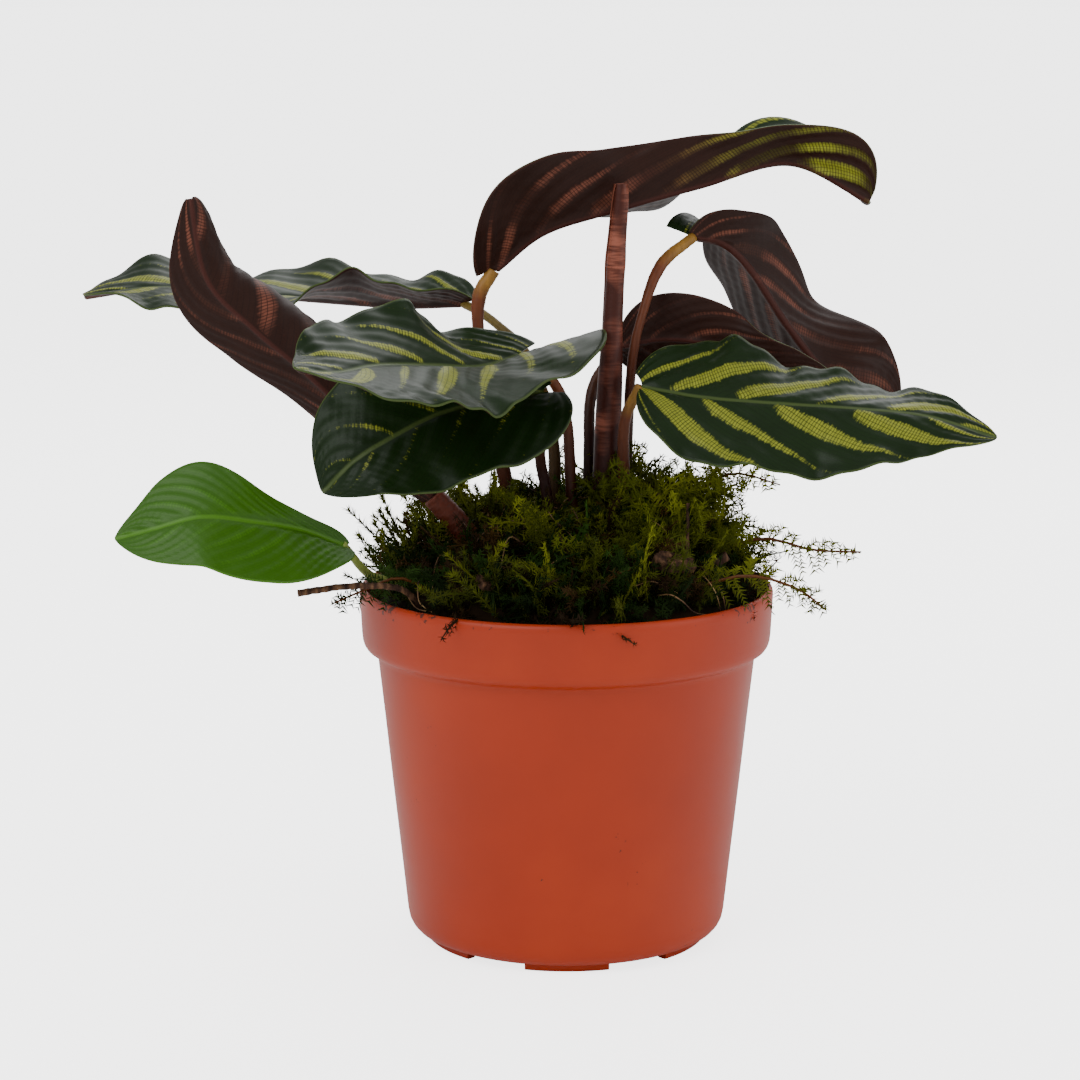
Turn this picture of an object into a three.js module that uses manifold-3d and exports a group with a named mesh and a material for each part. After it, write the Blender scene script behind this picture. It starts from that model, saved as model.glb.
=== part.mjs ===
// Peacock plant in a nursery pot: nine patterned leaves and one rolled new leaf on thin stalks,
// growing out of a cushion of moss over peat.
// Millimetres, +Z up. Everything is laid out about the pot's axis with z = 0 under the pot's feet,
// and the whole plant is moved at the end so that its origin is the bottom centre of its box.

import * as THREE from 'three';
import { mergeVertices } from 'three/addons/utils/BufferGeometryUtils.js';
import Module from 'manifold-3d';

// ---- driving dimensions ----
const POT_RIM_RADIUS = 55;
const POT_HEIGHT = 95.3;
const POT_COLLAR_BOTTOM = 78;
const POT_BODY_TOP_RADIUS = 50.2;
const POT_BASE_RADIUS = 42.7;
const POT_WALL = 1.3;
const POT_FOOT_HEIGHT = 2;
const POT_FOOT_COUNT = 6;
const POT_FOOT_WIDTH = 3;
const DRAIN_HOLE_COUNT = 6;
const DRAIN_HOLE_RADIUS = 3.5;
const DRAIN_HOLE_CIRCLE = 30;
const SOIL_TOP = 88;
const STALK_FOOT = 86;
const MOSS_RADIUS = 49;
const MOSS_EDGE = 92;
const MOSS_CROWN = 113;
const BLADE_THICKNESS = 0.8;
const GAP = 0.35;

// ---- solids ----
const wasm = await Module();
wasm.setup();

// A closed mesh as a solid, turned so that its faces point out.
function solidOf(geometry) {
  const bare = geometry.clone();
  bare.deleteAttribute('normal');
  bare.deleteAttribute('uv');
  const merged = mergeVertices(bare, 1e-4);
  const position = merged.attributes.position.array;
  const index = Array.from(merged.index.array);
  let volume = 0;
  const corner = (i) => new THREE.Vector3().fromArray(position, 3 * i);
  for (let i = 0; i < index.length; i += 3) {
    volume += corner(index[i]).dot(corner(index[i + 1]).cross(corner(index[i + 2])));
  }
  if (volume < 0) {
    for (let i = 0; i < index.length; i += 3) {
      [index[i + 1], index[i + 2]] = [index[i + 2], index[i + 1]];
    }
  }
  const mesh = new wasm.Mesh({
    numProp: 3,
    vertProperties: Float32Array.from(position),
    triVerts: Uint32Array.from(index),
  });
  return new wasm.Manifold(mesh);
}

function geometryOf(solid) {
  const mesh = solid.getMesh();
  const geometry = new THREE.BufferGeometry();
  geometry.setAttribute('position', new THREE.BufferAttribute(mesh.vertProperties, 3));
  geometry.setIndex(new THREE.BufferAttribute(mesh.triVerts, 1));
  geometry.computeVertexNormals();
  return geometry;
}

function indexed(vertices, triangles) {
  const geometry = new THREE.BufferGeometry();
  const flat = vertices.flatMap((v) => [v.x, v.y, v.z]);
  geometry.setAttribute('position', new THREE.Float32BufferAttribute(flat, 3));
  geometry.setIndex(triangles);
  return geometry;
}

// A profile of [radius, height] pairs turned about +Z.
function turned(profile, segments) {
  const points = profile.map(([radius, height]) => new THREE.Vector2(radius, height));
  const geometry = new THREE.LatheGeometry(points, segments);
  geometry.rotateX(Math.PI / 2);
  return solidOf(geometry);
}

// ---- smooth lines and grown shapes ----

// A smooth row of numbers passing through every given row, for t from 0 to 1.
function through(rows, t) {
  const last = rows.length - 1;
  const place = THREE.MathUtils.clamp(t, 0, 1) * last;
  const i = Math.min(Math.floor(place), last - 1);
  const f = place - i;
  const row = (k, c) => {
    if (k < 0) return 2 * rows[0][c] - rows[1][c];
    if (k > last) return 2 * rows[last][c] - rows[last - 1][c];
    return rows[k][c];
  };
  return rows[0].map((_, c) => {
    const [a, b, d, e] = [row(i - 1, c), row(i, c), row(i + 1, c), row(i + 2, c)];
    return 0.5 * (2 * b + (d - a) * f + (2 * a - 5 * b + 4 * d - e) * f * f
      + (3 * b - a - 3 * d + e) * f * f * f);
  });
}

function pointAt(rows, t) {
  const [x, y, z] = through(rows, t);
  return new THREE.Vector3(x, y, z);
}

function directionAt(rows, t) {
  const ahead = pointAt(rows, Math.min(t + 0.001, 1));
  return ahead.sub(pointAt(rows, Math.max(t - 0.001, 0))).normalize();
}

// A closed round stalk through rows of [x, y, z, radius].
function stalk(rows, sides = 7, steps = 12) {
  const vertices = [];
  const triangles = [];
  let across = new THREE.Vector3(0, 1, 0.1);
  for (let i = 0; i <= steps; i += 1) {
    const t = i / steps;
    const along = directionAt(rows, t);
    across = across.sub(along.clone().multiplyScalar(across.dot(along))).normalize();
    const other = along.clone().cross(across);
    const radius = through(rows, t)[3];
    for (let j = 0; j < sides; j += 1) {
      const angle = (2 * Math.PI * j) / sides;
      const vertex = pointAt(rows, t);
      vertex.addScaledVector(across, radius * Math.cos(angle));
      vertex.addScaledVector(other, radius * Math.sin(angle));
      vertices.push(vertex);
    }
  }
  for (let i = 0; i < steps; i += 1) {
    for (let j = 0; j < sides; j += 1) {
      const a = i * sides + j;
      const b = i * sides + ((j + 1) % sides);
      triangles.push(a, b, b + sides, a, b + sides, a + sides);
    }
  }
  for (let j = 1; j < sides - 1; j += 1) {
    const end = steps * sides;
    triangles.push(0, j + 1, j, end, end + j, end + j + 1);
  }
  return solidOf(indexed(vertices, triangles));
}

// How wide the blade is at t, 1 at its widest.
function bladeOutline(t, base, tip) {
  const widest = base / (base + tip);
  return (t / widest) ** base * ((1 - t) / (1 - widest)) ** tip;
}

// One point of a blade: t runs from stalk to tip, s from the left margin (-1) to the right (+1).
function bladePoint(leaf, t, s) {
  const row = through(leaf.rows, t);
  const along = directionAt(leaf.rows, t);
  const face = new THREE.Vector3(row[3], row[4], row[5]);
  face.sub(along.clone().multiplyScalar(face.dot(along))).normalize();
  const right = along.clone().cross(face);
  const side = s < 0 ? 0 : 1;
  const k = Math.abs(s);
  const outline = bladeOutline(t, leaf.base, leaf.tip);
  const width = outline * row[6 + side];
  const fold = THREE.MathUtils.degToRad(row[8 + side]);
  const curl = THREE.MathUtils.degToRad(row[10 + side]) + 0.001;
  const angle = fold + curl * k;
  const [amount, waves, phase] = leaf.ruffle;
  const wave = amount * k * k * Math.min(outline, 1)
    * Math.sin(2 * Math.PI * waves * t + phase + (side ? 0 : 2.1));
  const out = ((Math.sin(angle) - Math.sin(fold)) / curl) * width - Math.sin(angle) * wave;
  const up = ((Math.cos(fold) - Math.cos(angle)) / curl) * width + Math.cos(angle) * wave;
  const back = leaf.lobe[side] * k ** 1.6 * Math.max(1 - t / 0.35, 0) ** 2;
  const point = new THREE.Vector3(row[0], row[1], row[2]);
  point.addScaledVector(right, s < 0 ? -out : out);
  point.addScaledVector(face, up);
  return point.addScaledVector(along, -back);
}

// A blade as a thin closed solid, half its thickness to each side of the grown surface.
function blade(leaf, steps = 16, across = 6) {
  const start = 0.006;
  const end = 0.985;
  const at = (i) => start + (end - start) * (1 - Math.cos((Math.PI * i) / steps)) * 0.5;
  const half = BLADE_THICKNESS / 2;
  const upper = [];
  const lower = [];
  for (let i = 0; i <= steps; i += 1) {
    for (let j = 0; j <= across; j += 1) {
      const t = at(i);
      const s = -1 + (2 * j) / across;
      const point = bladePoint(leaf, t, s);
      const dt = 0.004;
      const ds = 0.02;
      const alongT = bladePoint(leaf, Math.min(t + dt, 0.995), s)
        .sub(bladePoint(leaf, Math.max(t - dt, 0.002), s));
      const alongS = bladePoint(leaf, t, Math.min(s + ds, 1))
        .sub(bladePoint(leaf, t, Math.max(s - ds, -1)));
      const normal = alongS.cross(alongT).normalize();
      upper.push(point.clone().addScaledVector(normal, half));
      lower.push(point.clone().addScaledVector(normal, -half));
    }
  }
  const wide = across + 1;
  const count = upper.length;
  const triangles = [];
  const quad = (a, b, c, d) => triangles.push(a, b, c, a, c, d);
  for (let i = 0; i < steps; i += 1) {
    for (let j = 0; j < across; j += 1) {
      const a = i * wide + j;
      quad(a, a + 1, a + 1 + wide, a + wide);
      quad(count + a, count + a + wide, count + a + 1 + wide, count + a + 1);
    }
    const left = i * wide;
    const right = left + across;
    quad(left, left + wide, count + left + wide, count + left);
    quad(right, count + right, count + right + wide, right + wide);
  }
  for (let j = 0; j < across; j += 1) {
    const far = steps * wide + j;
    quad(j, count + j, count + j + 1, j + 1);
    quad(far, far + 1, count + far + 1, count + far);
  }
  return solidOf(indexed([...upper, ...lower], triangles));
}

// ---- the parts list ----
const plant = new THREE.Group();

function material(color, roughness, metalness = 0) {
  return new THREE.MeshStandardMaterial({ color, roughness, metalness });
}

function add(name, solid, finish) {
  const mesh = new THREE.Mesh(geometryOf(solid), finish.clone());
  mesh.name = name;
  plant.add(mesh);
}

const potPlastic = material('#b24a2c', 0.5);
const peat = material('#2b1f17', 0.95);
const moss = material('#4c5a1c', 0.9);
const bark = material('#3c2a1f', 0.85);
const leafGreen = material('#24452a', 0.38);
const youngGreen = material('#4d8a2a', 0.38);
const stalkRed = material('#6e3d2f', 0.5);
const stalkGreen = material('#7c8a48', 0.5);

// ---- pot: thin wall, stepped collar, feet and drain holes ----
function potInside(inset) {
  const r = POT_BODY_TOP_RADIUS - POT_WALL - inset;
  const base = POT_BASE_RADIUS - POT_WALL - inset;
  const floor = POT_FOOT_HEIGHT + POT_WALL + inset;
  return [
    [0, floor],
    [base - 3.2, floor + 0.1],
    [base - 1.0, floor + 1.2],
    [base, floor + 3.4],
    [r, POT_COLLAR_BOTTOM - 1 + inset],
    [r + 0.5, POT_COLLAR_BOTTOM + 0.6 + inset],
    [r + 2.6, POT_COLLAR_BOTTOM + 1.9 + inset],
    [r + 3.3, POT_COLLAR_BOTTOM + 3.6 + inset],
  ];
}

function makePot() {
  const outside = [
    [0, POT_FOOT_HEIGHT],
    [POT_BASE_RADIUS - 4.4, POT_FOOT_HEIGHT],
    [POT_BASE_RADIUS - 1.9, POT_FOOT_HEIGHT + 0.8],
    [POT_BASE_RADIUS - 0.5, POT_FOOT_HEIGHT + 2.5],
    [POT_BASE_RADIUS, POT_FOOT_HEIGHT + 5],
    [POT_BODY_TOP_RADIUS, POT_COLLAR_BOTTOM - 1.5],
    [POT_BODY_TOP_RADIUS + 0.7, POT_COLLAR_BOTTOM],
    [POT_RIM_RADIUS - 1.7, POT_COLLAR_BOTTOM + 1.3],
    [POT_RIM_RADIUS - 0.7, POT_COLLAR_BOTTOM + 3.2],
    [POT_RIM_RADIUS, POT_HEIGHT - 1.7],
    [POT_RIM_RADIUS - 0.4, POT_HEIGHT - 0.4],
    [POT_RIM_RADIUS - 1.1, POT_HEIGHT],
    [POT_RIM_RADIUS - 1.8, POT_HEIGHT - 0.4],
    [POT_RIM_RADIUS - 2.1, POT_HEIGHT - 1.5],
  ];
  let pot = turned([...outside, ...potInside(0).reverse()], 36);
  const span = (2 * Math.PI) / POT_FOOT_COUNT;
  for (let i = 0; i < POT_FOOT_COUNT; i += 1) {
    const foot = new THREE.Shape();
    const outer = POT_BASE_RADIUS - 4.6;
    const from = span * (i - 0.28) - Math.PI / 2;
    const to = span * (i + 0.28) - Math.PI / 2;
    foot.absarc(0, 0, outer, from, to, false);
    foot.absarc(0, 0, outer - POT_FOOT_WIDTH, to, from, true);
    foot.closePath();
    const block = new THREE.ExtrudeGeometry(foot, {
      depth: POT_FOOT_HEIGHT + 0.5,
      bevelEnabled: false,
      curveSegments: 4,
    });
    pot = pot.add(solidOf(block));
  }
  for (let i = 0; i < DRAIN_HOLE_COUNT; i += 1) {
    const angle = span * (i + 0.5);
    const hole = new THREE.CylinderGeometry(DRAIN_HOLE_RADIUS, DRAIN_HOLE_RADIUS, 8, 10);
    hole.rotateX(Math.PI / 2);
    hole.translate(DRAIN_HOLE_CIRCLE * Math.cos(angle), DRAIN_HOLE_CIRCLE * Math.sin(angle), 3);
    pot = pot.subtract(solidOf(hole));
  }
  return pot;
}

add('pot', makePot(), potPlastic);

// ---- leaves: [x, y, z, facing x, y, z, width left, right, fold left, right, curl left, right] ----
const LEAVES = {
  top: {
    rows: [
      [-19, 8, 178, -0.6, 0.7, 0.3, 20, 22, 70, 0, 0, 10],
      [-6, 8, 188, -0.3, 0.85, 0.4, 20, 25, 60, 0, 0, 10],
      [13, 9, 194, 0, 0.85, 0.4, 19, 17, 55, 0, 0, 25],
      [35, 12, 200, 0, 0.85, 0.45, 22, 14, 60, 0, 0, 30],
      [59, 14, 206, 0.1, 0.7, 0.6, 24, 15, 80, 0, 0, 10],
      [80, 8, 196, 0.5, 0.85, 0.2, 32, 36, 55, 0, 0, 0],
    ],
    ruffle: [1.6, 2.5, 0.5], lobe: [3, 5], base: 0.5, tip: 0.5,
  },
  right_droop: {
    rows: [
      [34, 17, 186, -0.2, 0.1, 0.95, 15, 11, 60, 60, 0, 0],
      [42, 19, 184, 0, 0.6, 0.8, 19, 12, 50, 45, 0, 0],
      [50, 22, 176, 0, 1, 0.1, 20, 18, 58, 50, 0, 0],
      [60, 22, 161, 0, 1, 0, 22, 21, 60, 55, 0, 0],
      [72, 20, 147, 0, 1, 0, 24, 27, 50, 25, 0, 0],
      [88, 15, 137, 0, 1, 0, 24, 34, 30, 5, 0, 0],
    ],
    ruffle: [1.2, 2, 0], lobe: [8, 2], base: 0.5, tip: 0.6,
  },
  right_front: {
    rows: [
      [19, -14, 150, -0.2, -0.5, 0.85, 30, 20, 5, 0, 0, 0],
      [35, -20, 148, 0, -0.6, 0.8, 27, 22, -5, -5, 0, 0],
      [54, -24, 147, 0, -0.65, 0.75, 20, 22, -14, -5, 0, 0],
      [74, -26, 146, 0.05, -0.65, 0.75, 20, 23, -25, -5, 0, 0],
      [92, -26, 144, 0.1, -0.6, 0.75, 22, 21, -20, -5, 0, 0],
      [110, -24, 138, 0.2, -0.6, 0.7, 20, 20, 0, 0, 0, 0],
    ],
    ruffle: [2, 3.5, 0], lobe: [3, 0], base: 0.45, tip: 0.75,
  },
  front_left: {
    rows: [
      [-12, -20, 159, 0.2, -0.2, 0.95, 34, 19, 34, 10, 0, 0],
      [-22, -36, 158, 0.1, -0.2, 0.95, 26, 20, 6, 20, 0, 0],
      [-34, -50, 160, 0.1, -0.2, 0.95, 27, 20, -5, 30, 0, 0],
      [-46, -66, 162, 0.1, -0.2, 0.95, 28, 20, -10, 20, 0, 0],
      [-55, -80, 162, 0, -0.2, 0.95, 26, 22, -8, 15, 0, 0],
      [-64, -90, 164, 0.2, -0.2, 0.95, 22, 20, 0, 0, 0, 0],
    ],
    ruffle: [2, 3, 1], lobe: [30, 10], base: 0.5, tip: 0.75,
  },
  front_low: {
    rows: [
      [-6, -24, 150, 0.1, -0.6, 0.8, 26, 18, 10, 10, 0, 0],
      [-20, -36, 149, -0.1, -0.75, 0.6, 24, 17, 5, 0, 0, 0],
      [-32, -44, 147, -0.2, -0.8, 0.5, 22, 18, 5, 0, 0, 0],
      [-43, -48, 142, -0.3, -0.85, 0.4, 21, 23, 5, 5, 0, 0],
      [-53, -50, 136, -0.3, -0.85, 0.4, 20, 26, 5, 5, 0, 0],
      [-61, -50, 128, -0.3, -0.85, 0.4, 20, 24, 0, 0, 0, 0],
    ],
    ruffle: [1.2, 2.5, 0], lobe: [5, 4], base: 0.5, tip: 0.75,
  },
  left_roll: {
    rows: [
      [-35, -8, 120, 0.1, 0.9, 0.3, 17, 5, 0, 0, 265, 30],
      [-51, -8, 136, 0.1, 0.9, 0.3, 28, 8, 0, 0, 265, 30],
      [-67, -8, 152, 0.1, 0.9, 0.2, 38, 10, 0, 0, 262, 30],
      [-81, -8, 164, 0.1, 0.9, 0.1, 44, 13, 0, 0, 258, 30],
      [-93, -8, 177, 0.1, 0.9, 0.1, 34, 15, 0, 0, 228, 20],
      [-97, -8, 198, 0.1, 0.9, 0, 20, 8, 0, 0, 180, 20],
    ],
    ruffle: [0, 2, 0], lobe: [0, 0], base: 0.12, tip: 0.35,
  },
  far_left: {
    rows: [
      [-28, 30, 167, 0, 0, 1, 22, 22, 25, 25, 0, 0],
      [-45, 36, 166, 0, 0, 1, 24, 24, 28, 22, 0, 0],
      [-66, 40, 167, 0, 0, 1, 24, 24, 12, 14, 0, 0],
      [-90, 40, 169, 0, 0, 1, 24, 24, -6, 10, 0, 0],
      [-112, 36, 171, 0, 0, 1, 24, 24, -8, 12, 0, 0],
      [-131, 30, 169, -0.2, 0, 1, 24, 24, 0, 10, 0, 0],
    ],
    ruffle: [3, 2.9, 0], lobe: [4, 4], base: 0.5, tip: 0.5,
  },
  young_green: {
    rows: [
      [-57, -34, 112, 0.4, -0.3, 0.85, 12, 5, 0, 30, 0, 0],
      [-67, -40, 117, 0.1, -0.6, 0.75, 17, 4, 0, 40, 0, 0],
      [-78, -46, 120, -0.1, -0.7, 0.6, 18, 9, 0, 20, 0, 0],
      [-91, -50, 122, -0.2, -0.75, 0.6, 17, 18, 0, 0, 0, 0],
      [-103, -50, 119, -0.2, -0.75, 0.6, 17, 19, 0, 0, 0, 0],
      [-113, -48, 116, -0.2, -0.75, 0.6, 16, 16, 0, 0, 0, 0],
    ],
    ruffle: [0.6, 2, 0], lobe: [3, 2], base: 0.4, tip: 0.75,
  },
  back_mid: {
    rows: [
      [14, 15, 157, -0.2, 0.7, 0.6, 18, 14, 10, 20, 0, 0],
      [25, 16, 159, 0, 0.8, 0.5, 20, 14, 0, 10, 0, 20],
      [37, 15, 158, 0.1, 0.8, 0.5, 22, 12, 0, 10, 0, 20],
      [49, 12, 153, 0.2, 0.8, 0.5, 22, 10, 0, 10, 0, 20],
      [61, 8, 150, 0.2, 0.8, 0.5, 20, 11, 0, 10, 0, 20],
      [72, 4, 149, 0.2, 0.8, 0.5, 16, 12, 0, 10, 0, 0],
    ],
    ruffle: [1, 2.5, 0], lobe: [2, 0], base: 0.5, tip: 0.75,
  },
};

for (const [name, leaf] of Object.entries(LEAVES)) {
  add(`blade_${name}`, blade(leaf), name === 'young_green' ? youngGreen : leafGreen);
}

// ---- stalks: rows of [x, y, z, radius], foot first; the last row ends just short of its blade ----
const STALKS = {
  top: [[-12, 5, STALK_FOOT, 2], [-14, 6, 110, 2], [-19, 5, 136, 1.8], [-23, 6, 160, 1.5],
    [-23, 7, 171, 1.9], [-19.5, 7.8, 177.4, 1.7]],
  right_droop: [[15, 3, STALK_FOOT, 1.5], [16, 3, 123, 1.4], [17, 2, 152, 1.3],
    [20, 4, 167, 1.2], [25, 10, 179, 1.6], [33, 16.2, 185.4, 1.4]],
  right_front: [[17, -6, STALK_FOOT, 1.6], [16, -8, 108, 1.6], [15, -9, 125, 1.6],
    [15, -11, 140, 1.5], [18.4, -13.6, 149.5, 1.3]],
  back_mid: [[5, 5, STALK_FOOT, 1.6], [6, 4, 108, 1.6], [6, 5, 130, 1.5], [7, 10, 146, 1.5],
    [13.3, 14.5, 156.3, 1.2]],
  front_low: [[-4, -9, STALK_FOOT, 1.6], [-5, -10, 118, 1.5], [-7, -13, 132, 1.4],
    [-5.8, -23, 149, 1.2]],
  front_left: [[3, -9, STALK_FOOT, 1.6], [1, -8, 125, 1.5], [0, -9, 140, 1.4],
    [-3, -13, 150, 1.4], [-10.4, -18.8, 157.4, 1.1]],
  far_left: [[-3, 2, STALK_FOOT, 1.8], [-3, 2, 115, 1.8], [-4, 4, 137, 1.5],
    [-10, 13, 154, 1.3], [-20, 23, 163, 1.2], [-27.4, 29.6, 166.8, 1.2]],
  left_roll: [[-16, -10, STALK_FOOT, 1.8], [-20, -9, 101, 1.9], [-27, -8, 111, 3.1],
    [-34.6, -8, 119.6, 2.9]],
  young_green: [[-38, -16, STALK_FOOT, 1.3], [-43, -20, 98, 1.2], [-51, -27, 103, 1.1],
    [-56.7, -33.6, 111.4, 1]],
};

const STUBS = {
  stub_brown: [[22, -15, STALK_FOOT, 1.6], [23, -15, 108, 1.4], [24, -14, 122, 1]],
  stub_thin: [[33, -26, STALK_FOOT, 0.7], [31, -25, 104, 0.6], [31, -24, 121, 0.4]],
  twig_left: [[-35, -23, STALK_FOOT, 0.9], [-41, -31, 99, 0.8], [-54, -38, 102, 0.8],
    [-68, -42, 101, 0.9]],
};

// ---- rolled new leaf: a tapering tube whose margin overlaps itself in a spiral ----
function makeSpear() {
  const rows = [
    [10, -4, STALK_FOOT, 2.9], [10, -4, 118, 3.7], [11, -2, 145, 3.7], [12, 0, 166, 2.9],
    [13, 1, 184, 2.6], [14, 1, 200, 2.1],
  ];
  return stalk(rows, 10, 14);
}

// ---- soil: fills the pot below the rim, with a socket for each stalk ----
function makeSoil() {
  const top = [
    [POT_RIM_RADIUS - 2.6, SOIL_TOP - 1.2],
    [POT_RIM_RADIUS - 4, SOIL_TOP],
    [0, SOIL_TOP],
  ];
  return turned([...potInside(GAP), ...top], 36);
}

// ---- moss: a lumpy cushion on the soil, with a hole for each stalk ----
function mossHeight(x, y) {
  const r = Math.min(Math.hypot(x, y) / MOSS_RADIUS, 1);
  const dome = MOSS_EDGE + (MOSS_CROWN - MOSS_EDGE) * (1 - r ** 2.4);
  const lumps = 2.2 * Math.sin(x * 0.16 + 1) * Math.cos(y * 0.19)
    + 1.4 * Math.sin(x * 0.33 - y * 0.27 + 2);
  return dome + lumps * (1 - r ** 4);
}

function mossCushion(lift, bottom, radius) {
  const rings = 7;
  const spokes = 20;
  const vertices = [
    new THREE.Vector3(0, 0, mossHeight(0, 0) + lift),
    new THREE.Vector3(0, 0, bottom),
  ];
  for (let i = 1; i <= rings; i += 1) {
    for (let j = 0; j < spokes; j += 1) {
      const angle = (2 * Math.PI * j) / spokes;
      const x = (radius * i * Math.cos(angle)) / rings;
      const y = (radius * i * Math.sin(angle)) / rings;
      vertices.push(new THREE.Vector3(x, y, mossHeight(x, y) + lift));
    }
  }
  const rim = vertices.length - spokes;
  for (let j = 0; j < spokes; j += 1) {
    const { x, y } = vertices[rim + j];
    vertices.push(new THREE.Vector3(x, y, bottom));
  }
  const triangles = [];
  for (let j = 0; j < spokes; j += 1) {
    const next = (j + 1) % spokes;
    triangles.push(0, 2 + j, 2 + next);
    for (let i = 0; i < rings - 1; i += 1) {
      const a = 2 + i * spokes;
      triangles.push(a + j, a + spokes + j, a + spokes + next, a + j, a + spokes + next, a + next);
    }
    const low = rim + spokes;
    triangles.push(rim + j, low + j, low + next, rim + j, low + next, rim + next);
    triangles.push(1, low + next, low + j);
  }
  return solidOf(indexed(vertices, triangles));
}

// Each stalk a little thicker, to cut its clearance from what it passes through.
const clearances = Object.values({ ...STALKS, ...STUBS }).map((rows) => {
  const wider = rows.map(([x, y, z, r]) => [x, y, z, r + GAP]);
  wider[0] = [wider[0][0], wider[0][1], wider[0][2] - GAP, wider[0][3]];
  return stalk(wider);
});
const spear = makeSpear();
const spearClearance = stalk([
  [10, -4, STALK_FOOT - GAP, 3.4], [10, -4, 118, 4.2], [11, -2, 145, 4.2], [12, 0, 166, 3.3],
], 10, 10);
clearances.push(spearClearance);

function cleared(solid) {
  return clearances.reduce((rest, cutter) => rest.subtract(cutter), solid);
}

add('soil', cleared(makeSoil()), peat);
const cushion = cleared(mossCushion(0, SOIL_TOP + GAP, MOSS_RADIUS));
add('moss_cushion', cushion, moss);

// ---- loose growth on the cushion: sprigs that lean out, and a few bark chips ----
const underMoss = mossCushion(GAP, SOIL_TOP - 3, MOSS_RADIUS + GAP);
const SPRIGS = {
  right_long: [[34, -12, 104, 3], [50, -14, 108, 3.4], [64, -14, 106, 3], [78, -12, 108, 1.6]],
  right_low: [[30, -30, 99, 3], [45, -34, 103, 3.4], [58, -35, 100, 2.4], [68, -34, 98, 1]],
  right_up: [[30, 10, 106, 3], [36, 8, 118, 3.6], [45, 6, 124, 3], [58, 5, 122, 1.4]],
  left_low: [[-34, -26, 98, 3], [-43, -32, 102, 3.2], [-52, -33, 99, 2.6], [-60, -36, 98, 1.2]],
  left_up: [[-31, 9, 104, 3], [-37, 10, 113, 3.4], [-41, 11, 119, 2.6], [-44, 11, 124, 1.4]],
  back: [[-10, 34, 102, 3], [-14, 44, 108, 3.6], [-17, 52, 107, 2.6], [-20, 62, 105, 1.2]],
};
const CHIPS = {
  chip_a: { at: [27, -33, 107], size: [12, 6, 3], turn: [0.5, 0.2, 0.4] },
  chip_b: { at: [38, -22, 105], size: [9, 5, 2.5], turn: [0.2, -0.5, -0.5] },
  chip_c: { at: [-20, -38, 103], size: [8, 5, 2.4], turn: [0.6, 0.1, 0.9] },
};

let taken = underMoss;
for (const [name, rows] of Object.entries(SPRIGS)) {
  const shape = cleared(stalk(rows, 7, 7)).subtract(taken);
  add(`moss_sprig_${name}`, shape, moss);
}
for (const [name, chip] of Object.entries(CHIPS)) {
  const slab = new THREE.BoxGeometry(...chip.size, 2, 2, 1);
  slab.rotateX(chip.turn[0]);
  slab.rotateY(chip.turn[1]);
  slab.rotateZ(chip.turn[2]);
  slab.translate(...chip.at);
  add(`bark_${name}`, cleared(solidOf(slab)).subtract(taken), bark);
}

add('spear_new_leaf', spear, stalkRed);
for (const [name, rows] of Object.entries(STALKS)) {
  add(`stalk_${name}`, stalk(rows), name === 'young_green' ? stalkGreen : stalkRed);
}
for (const [name, rows] of Object.entries(STUBS)) {
  add(name, stalk(rows), bark);
}

// ---- the origin: bottom centre of the whole plant's box ----
const box = new THREE.Box3().setFromObject(plant);
plant.position.set(-(box.min.x + box.max.x) / 2, -(box.min.y + box.max.y) / 2, -box.min.z);

const pottedPlant = new THREE.Group();
pottedPlant.add(plant);

export default pottedPlant;
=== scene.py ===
# Potted peacock plant: patterned leaves on thin stalks over moss and peat, in a plastic pot.
import math

import bmesh
import bpy
import numpy as np
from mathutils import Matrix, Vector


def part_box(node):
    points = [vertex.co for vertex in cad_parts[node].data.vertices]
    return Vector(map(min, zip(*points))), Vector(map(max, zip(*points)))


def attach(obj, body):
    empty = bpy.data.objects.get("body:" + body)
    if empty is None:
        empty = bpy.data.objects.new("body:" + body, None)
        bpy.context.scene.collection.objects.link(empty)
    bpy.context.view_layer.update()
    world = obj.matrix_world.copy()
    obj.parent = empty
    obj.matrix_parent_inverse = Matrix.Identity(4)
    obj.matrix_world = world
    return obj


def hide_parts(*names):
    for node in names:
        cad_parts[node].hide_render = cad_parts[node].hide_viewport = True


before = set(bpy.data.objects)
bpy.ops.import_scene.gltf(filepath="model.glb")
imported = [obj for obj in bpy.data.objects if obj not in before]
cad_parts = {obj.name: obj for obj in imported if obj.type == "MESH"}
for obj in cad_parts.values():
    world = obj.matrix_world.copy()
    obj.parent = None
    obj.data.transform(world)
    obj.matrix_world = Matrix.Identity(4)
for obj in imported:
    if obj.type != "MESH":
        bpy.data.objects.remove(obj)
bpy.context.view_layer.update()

# ---- Where things go -----------------------------------------------------------------------------
# Shapes below are laid out in millimetres about the pot's axis, with z = 0 under the pot's feet.
pot_low, pot_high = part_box("pot")
AXIS = np.array([(pot_low[0] + pot_high[0]) / 2, (pot_low[1] + pot_high[1]) / 2, 0.0])


def placed(points):
    """Millimetres about the pot's axis as metres in the row frame."""
    return np.asarray(points, float) * 0.001 + AXIS


# ---- Stage, light and camera ---------------------------------------------------------------------
# A pale floor that runs off into a white surround, lit by large soft panels.
def tone(code):
    """An sRGB hex colour as linear RGBA."""
    parts = [int(code[i : i + 2], 16) / 255 for i in (1, 3, 5)]
    return [c / 12.92 if c <= 0.04045 else ((c + 0.055) / 1.055) ** 2.4 for c in parts] + [1.0]


def add(tree, kind, inputs=None, **settings):
    """Adds a node with its settings; inputs are values or the sockets to link from."""
    made = tree.nodes.new(kind)
    for name, value in settings.items():
        setattr(made, name, value)
    for name, value in (inputs or {}).items():
        if isinstance(value, bpy.types.NodeSocket):
            tree.links.new(value, made.inputs[name])
        else:
            made.inputs[name].default_value = value
    return made


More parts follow.
